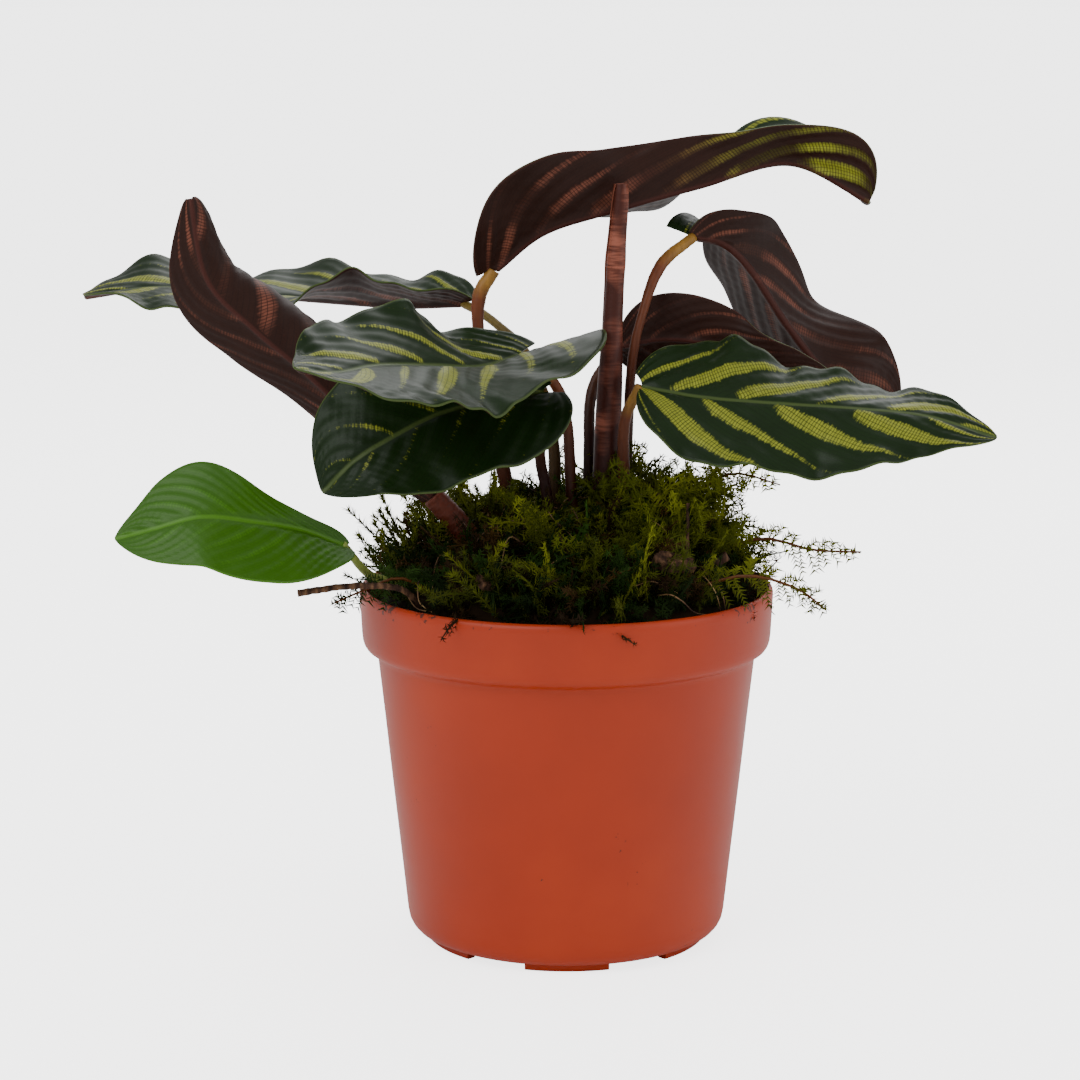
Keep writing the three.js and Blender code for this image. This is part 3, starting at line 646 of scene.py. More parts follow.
def make_blade(name, leaf, steps=120, across=48):
    """One blade with an upper and a lower skin: the midrib is sunken above and a keel below."""
    t = 0.002 + 0.996 * (1 - np.cos(np.linspace(0, math.pi, steps + 1))) / 2
    s = np.linspace(-1, 1, across + 1)
    s = np.sign(s) * np.abs(s) ** 1.15
    middle, width = grown(leaf, t, s)
    seed = sum(map(ord, name)) % 17
    # Along the top blade's tip, where painted light shines through the blade, the bands widen and
    # take the second band colour.
    tip_shine_through = np.clip((t - 0.5) / 0.25, 0, 1) if name == "top" else 0 * t
    band, vein = band_field(t, s, *leaf["bands"], seed * 0.37)
    band = band + 0.12 * tip_shine_through[:, None]
    k = np.abs(s)[None, :]
    window = np.clip(k / 0.15, 0, 1) * np.clip((1 - k) / 0.15, 0, 1)
    full = np.minimum(width / 12, 1)
    ridge = 0.14 * np.cos(4 * math.pi * vein) * window * full
    rough = 0.10 * np.sin(95 * t[:, None] + 9 * k) * np.sin(21 * k + 33 * t[:, None])
    rough = rough * window * full
    from_rib = (k * width) ** 2
    groove = 0.55 * np.exp(-from_rib / 1.4) * np.minimum(width / 4, 1)
    keel = 1.0 * np.exp(-from_rib / 0.9) * np.minimum(width / 4, 1)
    du = np.gradient(middle, axis=0)
    dv = np.gradient(middle, axis=1)
    normal = unit(np.cross(dv, du))
    upper = middle + normal * (BLADE_HALF_SKIN + ridge + rough - groove)[..., None]
    lower = middle + normal * (-BLADE_HALF_SKIN + ridge + rough - keel)[..., None]
    wide = across + 1
    count_points = wide * (steps + 1)
    points = np.vstack([upper.reshape(-1, 3), lower.reshape(-1, 3)])
    faces, kinds = [], []
    for i in range(steps):
        for j in range(across):
            a = i * wide + j
            faces.append((a, a + 1, a + 1 + wide, a + wide))
            kinds.append(0)
            b = count_points + a
            faces.append((b, b + wide, b + 1 + wide, b + 1))
            kinds.append(1)
        left, right = i * wide, i * wide + across
        faces.append((left, left + wide, count_points + left + wide, count_points + left))
        faces.append((right, count_points + right, count_points + right + wide, right + wide))
        kinds += [0, 0]
    for j in range(across):
        far = steps * wide + j
        faces.append((j, count_points + j, count_points + j + 1, j + 1))
        faces.append((far, far + 1, count_points + far + 1, count_points + far))
        kinds += [0, 0]
    rib_steps = np.linalg.norm(np.diff(middle[:, wide // 2], axis=0), axis=1)
    run = np.concatenate([[0], np.cumsum(rib_steps)])
    u = np.broadcast_to(run[:, None] / 100, width.shape)
    v = 0.5 + s[None, :] * width / 100
    uv = np.stack([u, v], -1).reshape(-1, 2)
    measures = {"band": band, "vein": vein, "edge": k, "tip_shine_through": tip_shine_through[:, None]}
    skins = [young_upper, young_under] if name == "young_green" else [leaf_upper, leaf_under]
    made = piece(
        f"leaf_{name}",
        points,
        faces,
        skins,
        [f"blade_{name}"],
        np.vstack([uv, uv]),
        {
            key: np.tile(np.broadcast_to(values, width.shape).ravel(), 2)
            for key, values in measures.items()
        },
    )
    made.data.polygons.foreach_set("material_index", kinds)


for leaf_name, leaf in LEAVES.items():
    make_blade(leaf_name, leaf)


# ---- Stalks --------------------------------------------------------------------------------------
# Thin living stalks, one to a blade, reddish brown with a short ochre swelling under the blade.
def tube(rows, sides, steps, rough=0.0):
    """Points, faces, and length along (0 to 1) of a closed round tube through [x, y, z, radius]."""
    t = np.linspace(0, 1, steps + 1)
    at = through(rows, t)
    line = [r[:3] for r in rows]
    along = unit(through(line, t + 0.002) - through(line, t - 0.002))
    side = np.array([0.0, 1.0, 0.1])
    points = []
    for i in range(steps + 1):
        side = side - side.dot(along[i]) * along[i]
        side = side / np.linalg.norm(side)
        other = np.cross(along[i], side)
        angle = np.linspace(0, 2 * math.pi, sides, endpoint=False)
        radius = at[i, 3] * (1 + rough * np.sin(3 * angle + 0.9 * i) + rough * np.sin(2.3 * i))
        ring = at[i, :3] + radius[:, None] * (
            np.cos(angle)[:, None] * side + np.sin(angle)[:, None] * other
        )
        points.append(ring)
    faces = []
    for i in range(steps):
        for j in range(sides):
            n = (j + 1) % sides
            faces.append((i * sides + j, i * sides + n, (i + 1) * sides + n, (i + 1) * sides + j))
    faces.append(list(range(sides - 1, -1, -1)))
    faces.append([steps * sides + j for j in range(sides)])
    return np.vstack(points), faces, np.repeat(t, sides)


def stalk_stuff(name, stops):
    """Stalk skin: colour changes along its length, fine lengthwise lines, satin."""
    material, tree, shader = surface(name, 0.45, Specular_IOR_Level=0.2)
    grain = fibres(tree, here(tree), (900.0, 900.0, 90.0), 3.0)
    body = ramp(tree, stored(tree, "along"), stops)
    shaded = mixed(tree, 0.45, body, ramp(tree, grain, [(0.3, 0.25), (0.7, 0.95)]), "MULTIPLY")
    tree.links.new(shaded, shader.inputs["Base Color"])
    relief(tree, shader, grain, 0.3, 0.0002)
    return material


stalk_ochre = stalk_stuff(
    "stalk_reddish_brown",
    [(0.0, "#2f140c"), (0.3, "#4c2414"), (0.78, "#6b381e"), (0.9, "#9a7030"), (1.0, "#8f682c")],
)
stalk_purple = stalk_stuff(
    "stalk_dark_purple", [(0.0, "#24100e"), (0.5, "#2f1612"), (0.9, "#4f2e1c"), (1.0, "#74562a")]
)
stalk_olive = stalk_stuff(
    "stalk_olive_brown", [(0.0, "#33200f"), (0.5, "#4f3a1c"), (0.9, "#6f5e28"), (1.0, "#866e30")]
)
stalk_green = stalk_stuff(
    "stalk_pale_green", [(0.0, "#6d7430"), (0.5, "#858c42"), (1.0, "#829244")]
)
stalk_keel = stalk_stuff(
    "stalk_thick_red", [(0.0, "#3a160c"), (0.4, "#552416"), (1.0, "#5f2a1a")]
)
# Rows of x, y, z and radius from the soil up, and the skin.
STALKS = {
    "top": ([[-12, 5, 86, 2], [-14, 6, 110, 2], [-19, 5, 136, 1.8], [-23, 6, 160, 1.5],
             [-23, 7, 171, 1.9], [-19.2, 7.9, 177.8, 1.7]], stalk_ochre),
    "right_droop": ([[15, 3, 86, 1.5], [16, 3, 123, 1.4], [17, 2, 152, 1.3], [20, 4, 167, 1.2],
                     [25, 10, 179, 1.6], [33.8, 16.8, 185.9, 1.4]], stalk_ochre),
    "right_front": ([[17, -6, 86, 1.6], [16, -8, 108, 1.6], [15, -9, 125, 1.6], [15, -11, 140, 1.5],
                     [18.8, -13.9, 149.9, 1.3]], stalk_ochre),
    "back_mid": ([[5, 5, 86, 1.6], [6, 4, 108, 1.6], [6, 5, 130, 1.5], [7, 10, 146, 1.5],
                  [13.8, 14.9, 156.8, 1.2]], stalk_purple),
    "front_low": ([[-4, -9, 86, 1.6], [-5, -10, 118, 1.5], [-7, -13, 132, 1.4],
                   [-6, -23.8, 149.8, 1.2]], stalk_purple),
    "front_left": ([[3, -9, 86, 1.6], [1, -8, 125, 1.5], [0, -9, 140, 1.4], [-3, -13, 150, 1.4],
                    [-11.5, -19.6, 158.6, 1.1]], stalk_ochre),
    "far_left": ([[-3, 2, 86, 1.8], [-3, 2, 115, 1.8], [-4, 4, 137, 1.5], [-10, 13, 154, 1.3],
                  [-20, 23, 163, 1.2], [-27.8, 29.9, 166.9, 1.2]], stalk_olive),
    "left_roll": ([[-16, -10, 86, 1.8], [-20, -9, 101, 1.9], [-27, -8, 111, 3.1],
                   [-35, -8, 120, 3.0]], stalk_keel),
    "young_green": ([[-38, -16, 86, 1.3], [-43, -20, 98, 1.2], [-51, -27, 103, 1.1],
                     [-57, -34, 112, 1]], stalk_green),
}
for stalk_name, (rows, skin) in STALKS.items():
    points, faces, along = tube(rows, 18, 90, 0.02)
    piece(
        f"stem_{stalk_name}",
        points,
        faces,
        [skin],
        [f"stalk_{stalk_name}"],
        attributes={"along": along},
    )


# ---- Rolled new leaf -----------------------------------------------------------------------------
# A new leaf still rolled into a spear: one sheet wound in a spiral, its margin showing as a line
# that climbs round the roll, maroon with pinkish cross-lined patches.
SPEAR_ROWS = [
    [10, -4, 88, 2.9], [10, -4, 118, 3.7], [11, -2, 145, 3.7], [12, 0, 166, 2.9],
    [13, 1, 184, 2.6], [14, 1, 197, 2.3], [14, 1, 201, 1.9],
]
SPEAR_TURNS = 1.12  # how far the sheet is wound round itself
SPEAR_SKIN = 0.3  # mm
SWELL_HEIGHT, SWELL_REACH = 181, 3.5  # mm


def spear_stuff():
    """Rolled leaf: maroon with pinkish patches of fine cross lines and a paler margin."""
    material, tree, shader = surface("new_leaf_maroon", 0.42, Specular_IOR_Level=0.2)
    place = here(tree)
    lines = fibres(tree, place, (180.0, 180.0, 1500.0), 2.0)
    where = eased(tree, noise(tree, place, 75.0, 1.5), 0.45, 0.57, 0.0, 1.0)
    pink = mixed(tree, ramp(tree, lines, [(0.35, 0.1), (0.65, 1.0)]), "#4a2016", "#8f5240")
    colour = mixed(tree, where, "#3b1810", pink)
    margin = eased(tree, stored(tree, "around"), 0.95, 0.99, 0.0, 0.8)
    tree.links.new(mixed(tree, margin, colour, "#6e3a28"), shader.inputs["Base Color"])
    relief(tree, shader, lines, 0.3, 0.0002)
    return material


def make_spear(steps=150, sides=40):
    """The sheet wound in a spiral about its rows, as an outer and an inner skin."""
    t = np.linspace(0, 1, steps + 1)
    at = through(SPEAR_ROWS, t)

    def wound(skin, bulge):
        """Points of the sheet with skin taken off its radius, swollen by bulge near the top."""
        points = []
        for i in range(steps + 1):
            start = 0.6 + 2.6 * t[i]
            swell = 1 + bulge * math.exp(-(((at[i, 2] - SWELL_HEIGHT) / SWELL_REACH) ** 2))
            for j in range(sides + 1):
                a = start + SPEAR_TURNS * 2 * math.pi * j / sides
                r = at[i, 3] * (0.82 + 0.2 * j / sides) - min(skin, at[i, 3] * 0.2)
                turned_by = np.array([math.cos(a) * r * swell, math.sin(a) * r * swell, 0])
                points.append(at[i, :3] + turned_by)
        return points

    points = wound(0, 0.07) + wound(SPEAR_SKIN, 0)
    around = [j / sides for _ in range(2 * (steps + 1)) for j in range(sides + 1)]
    wide = sides + 1
    total = wide * (steps + 1)
    faces = []
    for i in range(steps):
        for j in range(sides):
            a = i * wide + j
            faces.append((a, a + 1, a + 1 + wide, a + wide))
            faces.append((total + a, total + a + wide, total + a + 1 + wide, total + a + 1))
        for a, flip in ((i * wide, False), (i * wide + sides, True)):
            quad = (a, a + wide, total + a + wide, total + a)
            faces.append(quad[::-1] if flip else quad)
    for j in range(sides):
        far = steps * wide + j
        faces.append((j, total + j, total + j + 1, j + 1))
        faces.append((far, far + 1, total + far + 1, total + far))
    piece(
        "spear_rolled_leaf",
        np.array(points),
        faces,
        [spear_stuff()],
        ["spear_new_leaf"],
        attributes={"around": around},
    )


make_spear()


# ---- Old stumps and a twig -----------------------------------------------------------------------
# Dry brown ends of old stalks and a fallen twig, each one tapering piece in dry bark; the twig's
# black tip is not coloured apart.
def bark_stuff():
    """Dry bark and stalk: dark brown to tan fibres running lengthwise, matte."""
    material, tree, shader = surface("dry_bark", 0.8, Specular_IOR_Level=0.15)
    grain = fibres(tree, here(tree), (700.0, 500.0, 160.0), 4.0)
    colour = ramp(tree, grain, [(0.3, "#1d130f"), (0.5, "#3f2b20"), (0.72, "#7a5a40")])
    tree.links.new(colour, shader.inputs["Base Color"])
    relief(tree, shader, grain, 0.7, 0.0005)
    return material


bark = bark_stuff()
STUBS = {
    "stub_brown": [[22, -15, 86, 1.6], [23, -15, 108, 1.4], [24, -14, 122, 1]],
    "stub_thin": [[33, -26, 86, 0.7], [31, -25, 104, 0.6], [31, -24, 121, 0.4]],
    "twig_left": [
        [-35, -23, 86, 0.9], [-41, -31, 99, 0.8], [-54, -38, 102, 0.8], [-68, -42, 101, 0.9],
    ],
}
for stub_name, rows in STUBS.items():
    points, faces, _ = tube(rows, 12, 50, 0.08)
    piece(f"dry_{stub_name}", points, faces, [bark], [stub_name])


# ---- Moss ----------------------------------------------------------------------------------------
# Loose living sphagnum and feather moss: a dark matted bed, feathery fronds in yellow-green, dark
# green and dead brown lying every way over it, upright fuzzy shoots, sprigs that lean over the rim.
SHORTEST_BRANCH = 0.8  # mm


def frond(rows, pairs, reach, seed, leaf_length=1.15, leaf_width=0.5, flat=0.25):
    """A frond along [x, y, z, radius] rows: paired side branches, each set with tiny leaves."""
    rng = np.random.default_rng(seed)
    points, faces, _ = tube(rows, 3, 10)
    points, faces = points.tolist(), [list(f) for f in faces]
    line = [r[:3] for r in rows]
    flatness = unit(rng.normal(size=3) * 0.3 + np.array([0.2, 1.0, 0.1]))

    def leaflet(root, forward, side):
        length = leaf_length * rng.uniform(0.7, 1.25)
        across = unit(np.cross(forward, side) + rng.normal(size=3) * 0.5)
        tip = root + unit(forward * 0.75 + side * 0.9 + rng.normal(size=3) * 0.22) * length
        at = len(points)
        points.extend([
            (root - forward * leaf_width * 0.5).tolist(),
            (root + forward * leaf_width * 0.5 + across * 0.12).tolist(),
            tip.tolist(),
        ])
        faces.append([at, at + 1, at + 2])

    for i in range(pairs):
        u = 0.1 + 0.88 * (i + rng.uniform(0, 0.6)) / pairs
        root = through(line, u)[0]
        ahead = unit(through(line, min(u + 0.02, 1.0))[0] - through(line, max(u - 0.02, 0.0))[0])
        side = unit(np.cross(ahead, flatness))
        for sign in (-1, 1):
            leaflet(root, ahead, sign * side)
            length = reach * (1 - u) ** 0.55 * (0.35 + 0.65 * min(u / 0.25, 1))
            length = length * rng.uniform(0.6, 1.15)
            if length < SHORTEST_BRANCH:
                continue
            away = unit(ahead * rng.uniform(0.5, 0.9) + sign * side + rng.normal(size=3) * flat)
            sag = np.array([0, 0, -0.25 * length])
            end = root + away * length + sag
            at = len(points)
            upright = unit(np.cross(away, side * sign + 0.1))
            across = 0.1 * ahead
            for offset in (0.16 * upright, -0.1 * upright + across, -0.1 * upright - across):
                points.append((root + offset).tolist())
            points.append(end.tolist())
            faces.extend([[at, at + 1, at + 3], [at + 1, at + 2, at + 3], [at + 2, at, at + 3]])
            count = max(2, int(length / 0.75))
            cross = unit(np.cross(away, flatness))
            for k in range(count):
                f = (k + 0.6) / count
                place = root + away * length * f + sag * f * f
                leaflet(place, away, cross)
                leaflet(place, away, -cross)
    return np.array(points), faces


NEEDLES_PER_MM = 6


def shoot(height, seed):
    """An upright fuzzy shoot: a thin stem with needle leaves all round, closer at the top."""
    rng = np.random.default_rng(seed)
    lean = rng.normal(size=2) * 0.18 * height
    rows = [[0, 0, 0, 0.25], [lean[0] * 0.3, lean[1] * 0.3, height * 0.5, 0.22],
            [lean[0], lean[1], height, 0.12]]
    points, faces, _ = tube(rows, 3, 8)
    points, faces = points.tolist(), [list(f) for f in faces]
    line = [r[:3] for r in rows]
    for i in range(int(height * NEEDLES_PER_MM)):
        u = 1 - rng.uniform(0, 1) ** 1.35 * 0.95
        root = through(line, u)[0]
        angle = i * 2.4
        out = np.array([math.cos(angle), math.sin(angle), rng.uniform(0.5, 1.3)])
        tip = root + unit(out) * rng.uniform(1.6, 2.8)
        across = 0.22 * np.array([-math.sin(angle), math.cos(angle), 0])
        at = len(points)
        points.extend([(root - across).tolist(), (root + across).tolist(), tip.tolist()])
        faces.append([at, at + 1, at + 2])
    return np.array(points), faces


def moss_stuff(name, dark, middle, bright):
    """Moss leaves: thin matte green, each frond its own shade, darker and browner low down."""
    material, tree, shader = surface(name, 0.7, Specular_IOR_Level=0.08)
    place = here(tree)
    colour = ramp(tree, stored(tree, "tint"), [(0.0, dark), (0.5, middle), (1.0, bright)])
    colour = mixed(tree, noise(tree, place, 320.0, 3.0), colour, middle)
    height = add(tree, "ShaderNodeSeparateXYZ", {"Vector": place}).outputs["Z"]
    colour = mixed(tree, eased(tree, height, 0.096, 0.12, 0.75, 0.0), colour, dark)
    tree.links.new(colour, shader.inputs["Base Color"])
    return material


moss_yellow = moss_stuff("moss_yellow_green", "#1d2106", "#545c10", "#969a28")
moss_dark = moss_stuff("moss_dark_green", "#0d1405", "#1f330a", "#40641a")
moss_brown = moss_stuff("moss_dead_brown", "#140c05", "#332310", "#6a4f22")


HALF_TURN = 3.1416


def loose(name, shapes):
    """Hidden source objects for instancing, in a collection of their own."""
    group = bpy.data.collections.new(name)
    for i, (points, faces) in enumerate(shapes):
        mesh = bpy.data.meshes.new(f"{name}_{i}")
        mesh.from_pydata((np.asarray(points) * 0.001).tolist(), [], faces)
        group.objects.link(bpy.data.objects.new(f"{name}_{i}", mesh))
    return group


def strewn(name, base, sources, material, density, seed, tilt, sizes, slot):
    """Instances from a collection strewn over a base mesh by Geometry Nodes, as a plain mesh."""
    tree = bpy.data.node_groups.new(name, "GeometryNodeTree")
    for label, kind, way in (
        ("Base", "NodeSocketGeometry", "INPUT"),
        ("Density", "NodeSocketFloat", "INPUT"),
        ("Tilt", "NodeSocketFloat", "INPUT"),
        ("Smallest", "NodeSocketFloat", "INPUT"),
        ("Largest", "NodeSocketFloat", "INPUT"),
        ("Strewn", "NodeSocketGeometry", "OUTPUT"),
    ):
        tree.interface.new_socket(label, in_out=way, socket_type=kind)
    given = tree.nodes.new("NodeGroupInput").outputs
    spots = add(
        tree,
        "GeometryNodeDistributePointsOnFaces",
        {"Mesh": given["Base"], "Density": given["Density"], "Seed": seed},
    )
    source = add(
        tree,
        "GeometryNodeCollectionInfo",
        {"Collection": sources, "Separate Children": True, "Reset Children": True},
    )
    highest = given["Tilt"]
    lowest = math_of(tree, "MULTIPLY", highest, -1.0)
    low_turn = add(tree, "ShaderNodeCombineXYZ", {"X": lowest, "Y": lowest, "Z": -HALF_TURN})
    high_turn = add(tree, "ShaderNodeCombineXYZ", {"X": highest, "Y": highest, "Z": HALF_TURN})
    turn = add(
        tree,
        "FunctionNodeRandomValue",
        {0: low_turn.outputs[0], 1: high_turn.outputs[0], "Seed": seed + 1},
        data_type="FLOAT_VECTOR",
    ).outputs[0]
    spin = add(
        tree,
        "FunctionNodeRotateRotation",
        {"Rotation": spots.outputs["Rotation"], "Rotate By": turn},
        rotation_space="LOCAL",
    ).outputs[0]
    size = add(
        tree,
        "FunctionNodeRandomValue",
        {2: given["Smallest"], 3: given["Largest"], "Seed": seed + 2},
        data_type="FLOAT",
    ).outputs[1]
    copies = add(
        tree,
        "GeometryNodeInstanceOnPoints",
        {
            "Points": spots.outputs["Points"],
            "Instance": source.outputs[0],
            "Pick Instance": True,
            "Rotation": spin,
            "Scale": size,
        },
    ).outputs[0]
    tint = add(tree, "FunctionNodeRandomValue", {"Seed": seed + 3}, data_type="FLOAT").outputs[1]
    marked = add(
        tree,
        "GeometryNodeStoreNamedAttribute",
        {"Geometry": copies, "Name": "tint", "Value": tint},
        data_type="FLOAT",
        domain="INSTANCE",
    ).outputs[0]
    real = add(tree, "GeometryNodeRealizeInstances", {"Geometry": marked}).outputs[0]
    painted = add(tree, "GeometryNodeSetMaterial", {"Geometry": real, "Material": material})
    result = tree.nodes.new("NodeGroupOutput")
    tree.links.new(painted.outputs[0], result.inputs[0])
    made = bpy.data.objects.new(name, base.copy())
    bpy.context.collection.objects.link(made)
    strew = made.modifiers.new("strew", "NODES")
    strew.node_group = tree
    identifiers = {item.name: item.identifier for item in tree.interface.items_tree}
    for label, value in (
        ("Density", density), ("Tilt", tilt), ("Smallest", sizes[0]), ("Largest", sizes[1])
    ):
        strew[identifiers[label]] = value
    settled(made)
    if not made.data.materials:
        made.data.materials.append(material)
    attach(made, "root")


MOSS_RADIUS = 50.5


def moss_height(x, y):
    """Top of the matted bed in mm: a low mound, higher to the right of the middle."""
    r = np.minimum(np.hypot(x, y) / MOSS_RADIUS, 1)
    dome = 90.5 + 18 * (1 - r**2.6) + 5 * np.exp(-(((x - 20) / 16) ** 2) - ((y / 22) ** 2))
    lumps = 1.8 * np.sin(x * 0.31 + 1) * np.cos(y * 0.27) + 1.2 * np.sin(x * 0.7 - y * 0.6 + 2)
    fuzz = 0.7 * np.sin(x * 2.3 + 1.9 * y) + 0.6 * np.cos(2.9 * y - 2.1 * x)
    return dome + (lumps + fuzz) * (1 - r**5)


rings, spokes = 56, 150
px, py, bed_faces = disc(0.3, MOSS_RADIUS, rings, spokes)
pz = moss_height(px, py)
pz[-1] -= 5  # the rim of the bed turns down
bed_points = np.stack([px, py, pz], -1).reshape(-1, 3)
bed_faces.append(list(range(spokes - 1, -1, -1)))
bed = piece(
    "moss_bed",
    bed_points,
    bed_faces,
    [moss_brown],
    ["moss_cushion"],
    attributes={"tint": 0.3 + 0.25 * np.sin(bed_points[:, 0]) * np.cos(bed_points[:, 1] * 1.3)},
)

feather_rows = [
    [[0, 0, 0, 0.4], [1.5, 0.6, 7, 0.36], [5, 1, 13, 0.3], [11, 0.6, 16, 0.12]],
    [[0, 0, 0, 0.4], [0.5, -1, 7, 0.36], [2.5, -2.4, 13.5, 0.3], [7, -4, 19, 0.1]],
    [[0, 0, 0, 0.4], [2.5, 1, 5, 0.36], [8, 1.4, 8.5, 0.3], [15, 0, 8, 0.1]],
    [[0, 0, 0, 0.4], [-1, 1, 6, 0.34], [-1.2, 3, 11, 0.3], [1, 6.5, 16, 0.1]],
    [[0, 0, 0, 0.4], [1, 2, 4, 0.36], [5, 6, 6.5, 0.3], [6, 12, 5, 0.1]],
]
feathers = loose(
    "moss_feathers", [frond(rows, 12, 5.5, 11 + i, 1.7, 0.5) for i, rows in enumerate(feather_rows)]
)
small_feathers = loose(
    "moss_small_feathers",
    [frond([[0.65 * v for v in r[:3]] + [r[3]] for r in rows], 9, 3.8, 31 + i, 1.3, 0.45)
     for i, rows in enumerate(feather_rows)],
)
shoots = loose("moss_shoots", [shoot(h, 51 + i) for i, h in enumerate((17, 14, 21))])


def patch(name, keep):
    """The faces of the moss bed whose middle (x, y in mm) passes keep, as a base mesh."""
    body = bmesh.new()
    body.from_mesh(bed.data)
    gone = []
    for face in body.faces:
        middle = (np.array(face.calc_center_median()) - AXIS) * 1000
        if not keep(middle[0], middle[1]) or len(face.verts) > 4:
            gone.append(face)
    bmesh.ops.delete(body, geom=gone, context="FACES")
    mesh = bpy.data.meshes.new(name)
    body.to_mesh(mesh)
    body.free()
    return mesh


def clear(x, y):
    """True away from the foot of the thick stalk, in front of which the moss lies low."""
    return not (-38 < x < -10 and -32 < y < -5)


def from_middle(x, y):
    """Distance from the pot's axis, in mm."""
    return math.hypot(x, y)


whole = patch("moss_ground", lambda x, y: from_middle(x, y) < 46.5)
open_part = patch("moss_ground_open", lambda x, y: from_middle(x, y) < 45 and clear(x, y))
left_side = patch(
    "moss_ground_left", lambda x, y: x < -16 and from_middle(x, y) < 47 and clear(x, y)
)
edge_band = patch("moss_ground_edge", lambda x, y: 34 < from_middle(x, y) < 46.5)
crown = patch("moss_ground_crown", lambda x, y: 10 < x < 36 and -22 < y < 24)
# name, ground, shapes, material, copies to a square metre, seed, tilt in radians, sizes
for row in (
    ("moss_feathery", open_part, feathers, moss_yellow, 36000, 3, 0.9, (0.6, 1.15)),
    ("moss_dark_feathery", whole, small_feathers, moss_dark, 42000, 7, 1.1, (0.8, 1.3)),
    ("moss_brown_feathery", whole, small_feathers, moss_brown, 38000, 13, 1.3, (0.8, 1.3)),
    ("moss_fuzzy_shoots", left_side, shoots, moss_yellow, 52000, 17, 0.35, (0.7, 1.1)),
    ("moss_edge_feathery", edge_band, small_feathers, moss_dark, 26000, 23, 0.8, (0.7, 1.1)),
    ("moss_tall_feathery", crown, feathers, moss_yellow, 60000, 29, 0.35, (0.9, 1.3)),
):
    strewn(*row, "moss")

STEM_FACES = 30  # a frond's stem comes before its leaves
moss_stem = stalk_stuff("moss_stem_orange_brown", [(0.0, "#5a3210"), (1.0, "#7a4a18")])
SPRIGS = {
    "right_long": [
        [34, -12, 104, 0.5], [50, -14, 110, 0.5], [64, -14, 107, 0.4], [77, -12, 106, 0.3],
    ],
    "right_low": [
        [30, -30, 99, 0.5], [45, -34, 104, 0.5], [58, -35, 101, 0.4], [66, -34, 95, 0.25],
    ],
    "right_up": [[30, 10, 106, 0.5], [36, 8, 119, 0.5], [45, 6, 124, 0.4], [57, 5, 121, 0.25]],
    "left_low": [
        [-34, -26, 98, 0.5], [-43, -32, 103, 0.5], [-52, -33, 100, 0.4], [-60, -36, 97, 0.25],
    ],
    "left_up": [[-31, 9, 104, 0.5], [-37, 10, 113, 0.5], [-41, 11, 119, 0.4], [-44, 11, 124, 0.25]],
    "back": [[-10, 34, 102, 0.5], [-14, 44, 108, 0.5], [-17, 52, 107, 0.4], [-20, 61, 104, 0.25]],
}
for i, (sprig_name, rows) in enumerate(SPRIGS.items()):
    points, faces = frond(rows, 17, 8, 71 + i, 1.9, 0.6, 0.45)
    skin = moss_dark if sprig_name in ("left_low", "back") else moss_yellow
    sprig = piece(
        f"moss_sprig_{sprig_name}_living",
        points,
        faces,
        [skin, moss_stem],
        [f"moss_sprig_{sprig_name}"],
        attributes={"tint": np.full(len(points), 0.85)},
    )
    for face in sprig.data.polygons[:STEM_FACES]:
        face.material_index = 1


# ---- Rootlets and bark chips ---------------------------------------------------------------------
# Fine tan rootlets looping out of the moss, and flat chips of bark with rough broken edges.
def rootlet_stuff():
    """Rootlets: tan to reddish brown, matte, fibrous."""
    material, tree, shader = surface("rootlets_tan", 0.75)
    cloud = noise(tree, here(tree), 150.0, 3.0)
    colour = ramp(tree, cloud, [(0.35, "#3b2418"), (0.5, "#7b5a38"), (0.7, "#a78a5a")])
    tree.links.new(colour, shader.inputs["Base Color"])
    return material


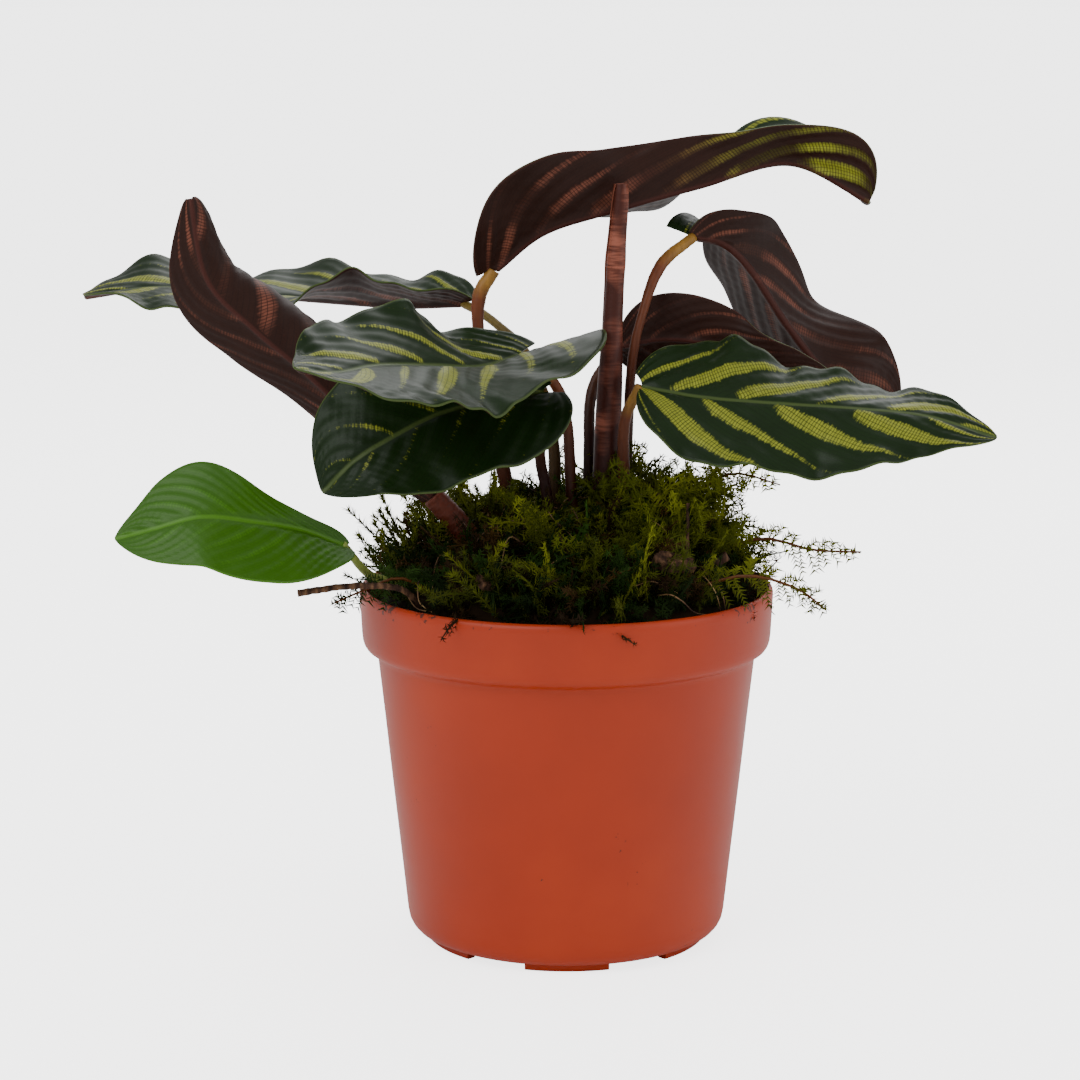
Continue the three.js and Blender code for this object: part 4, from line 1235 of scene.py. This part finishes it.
ROOTLETS = 70
ROOTLET_LIMIT = 50  # mm from the axis
rng = np.random.default_rng(5)
root_points, root_faces = [], []
for _ in range(ROOTLETS):
    angle, reach = rng.uniform(0, 2 * math.pi), rng.uniform(8, 46)
    start = np.array([reach * math.cos(angle), reach * math.sin(angle)])
    run = rng.uniform(10, 24)
    heading = angle + rng.normal() * 0.9
    rows = []
    for k in range(5):
        f = k / 4
        spot = start + run * f * np.array([math.cos(heading + f), math.sin(heading + f)])
        lift = moss_height(*spot) + rng.uniform(1, 5)
        lift = lift + 7 * math.sin(math.pi * f) * rng.uniform(0.5, 1)
        if np.hypot(*spot) > ROOTLET_LIMIT:
            spot = spot * ROOTLET_LIMIT / np.hypot(*spot)
        rows.append([spot[0], spot[1], min(lift, 128), 0.22 - 0.1 * f])
    points, faces, _ = tube(rows, 5, 22, 0.1)
    root_faces += shifted(faces, len(root_points))
    root_points.extend(points.tolist())
piece("rootlets", root_points, root_faces, [rootlet_stuff()], ())

# Each chip: where its middle is, its size, and its turn about x, y and z in radians.
CHIPS = {
    "chip_a": ([27, -33, 107], [12, 6, 3], [0.5, 0.2, 0.4]),
    "chip_b": ([38, -22, 105], [9, 5, 2.5], [0.2, -0.5, -0.5]),
    "chip_c": ([-20, -38, 103], [8, 5, 2.4], [0.6, 0.1, 0.9]),
}
for i, (chip_name, (at, size, turn)) in enumerate(CHIPS.items()):
    body = bmesh.new()
    bmesh.ops.create_cube(body, size=1.0)
    bmesh.ops.subdivide_edges(body, edges=body.edges[:], cuts=9, use_grid_fill=True)
    a, b, c = turn
    about_x = np.array([[1, 0, 0], [0, math.cos(a), -math.sin(a)], [0, math.sin(a), math.cos(a)]])
    about_y = np.array([[math.cos(b), 0, math.sin(b)], [0, 1, 0], [-math.sin(b), 0, math.cos(b)]])
    about_z = np.array([[math.cos(c), -math.sin(c), 0], [math.sin(c), math.cos(c), 0], [0, 0, 1]])
    spread = []
    for vertex in body.verts:
        x, y, z = vertex.co
        worn = 0.93 + 0.10 * math.sin(11 * x + 3 * i) * math.cos(9 * y + i)
        corner = 1 - 0.28 * (abs(x * 2) ** 4) * (abs(y * 2) ** 4)
        ridge = 1 + 0.22 * math.sin(30 * y + 4 * x + i)
        spread.append([
            x * size[0] * worn * corner, y * size[1] * worn * corner, z * size[2] * ridge * 0.8,
        ])
    spread = np.array(spread) @ (about_z @ about_y @ about_x).T + np.array(at)
    faces = [[v.index for v in face.verts] for face in body.faces]
    body.free()
    piece(f"bark_{chip_name}_rough", spread, faces, [bark], [f"bark_{chip_name}"])
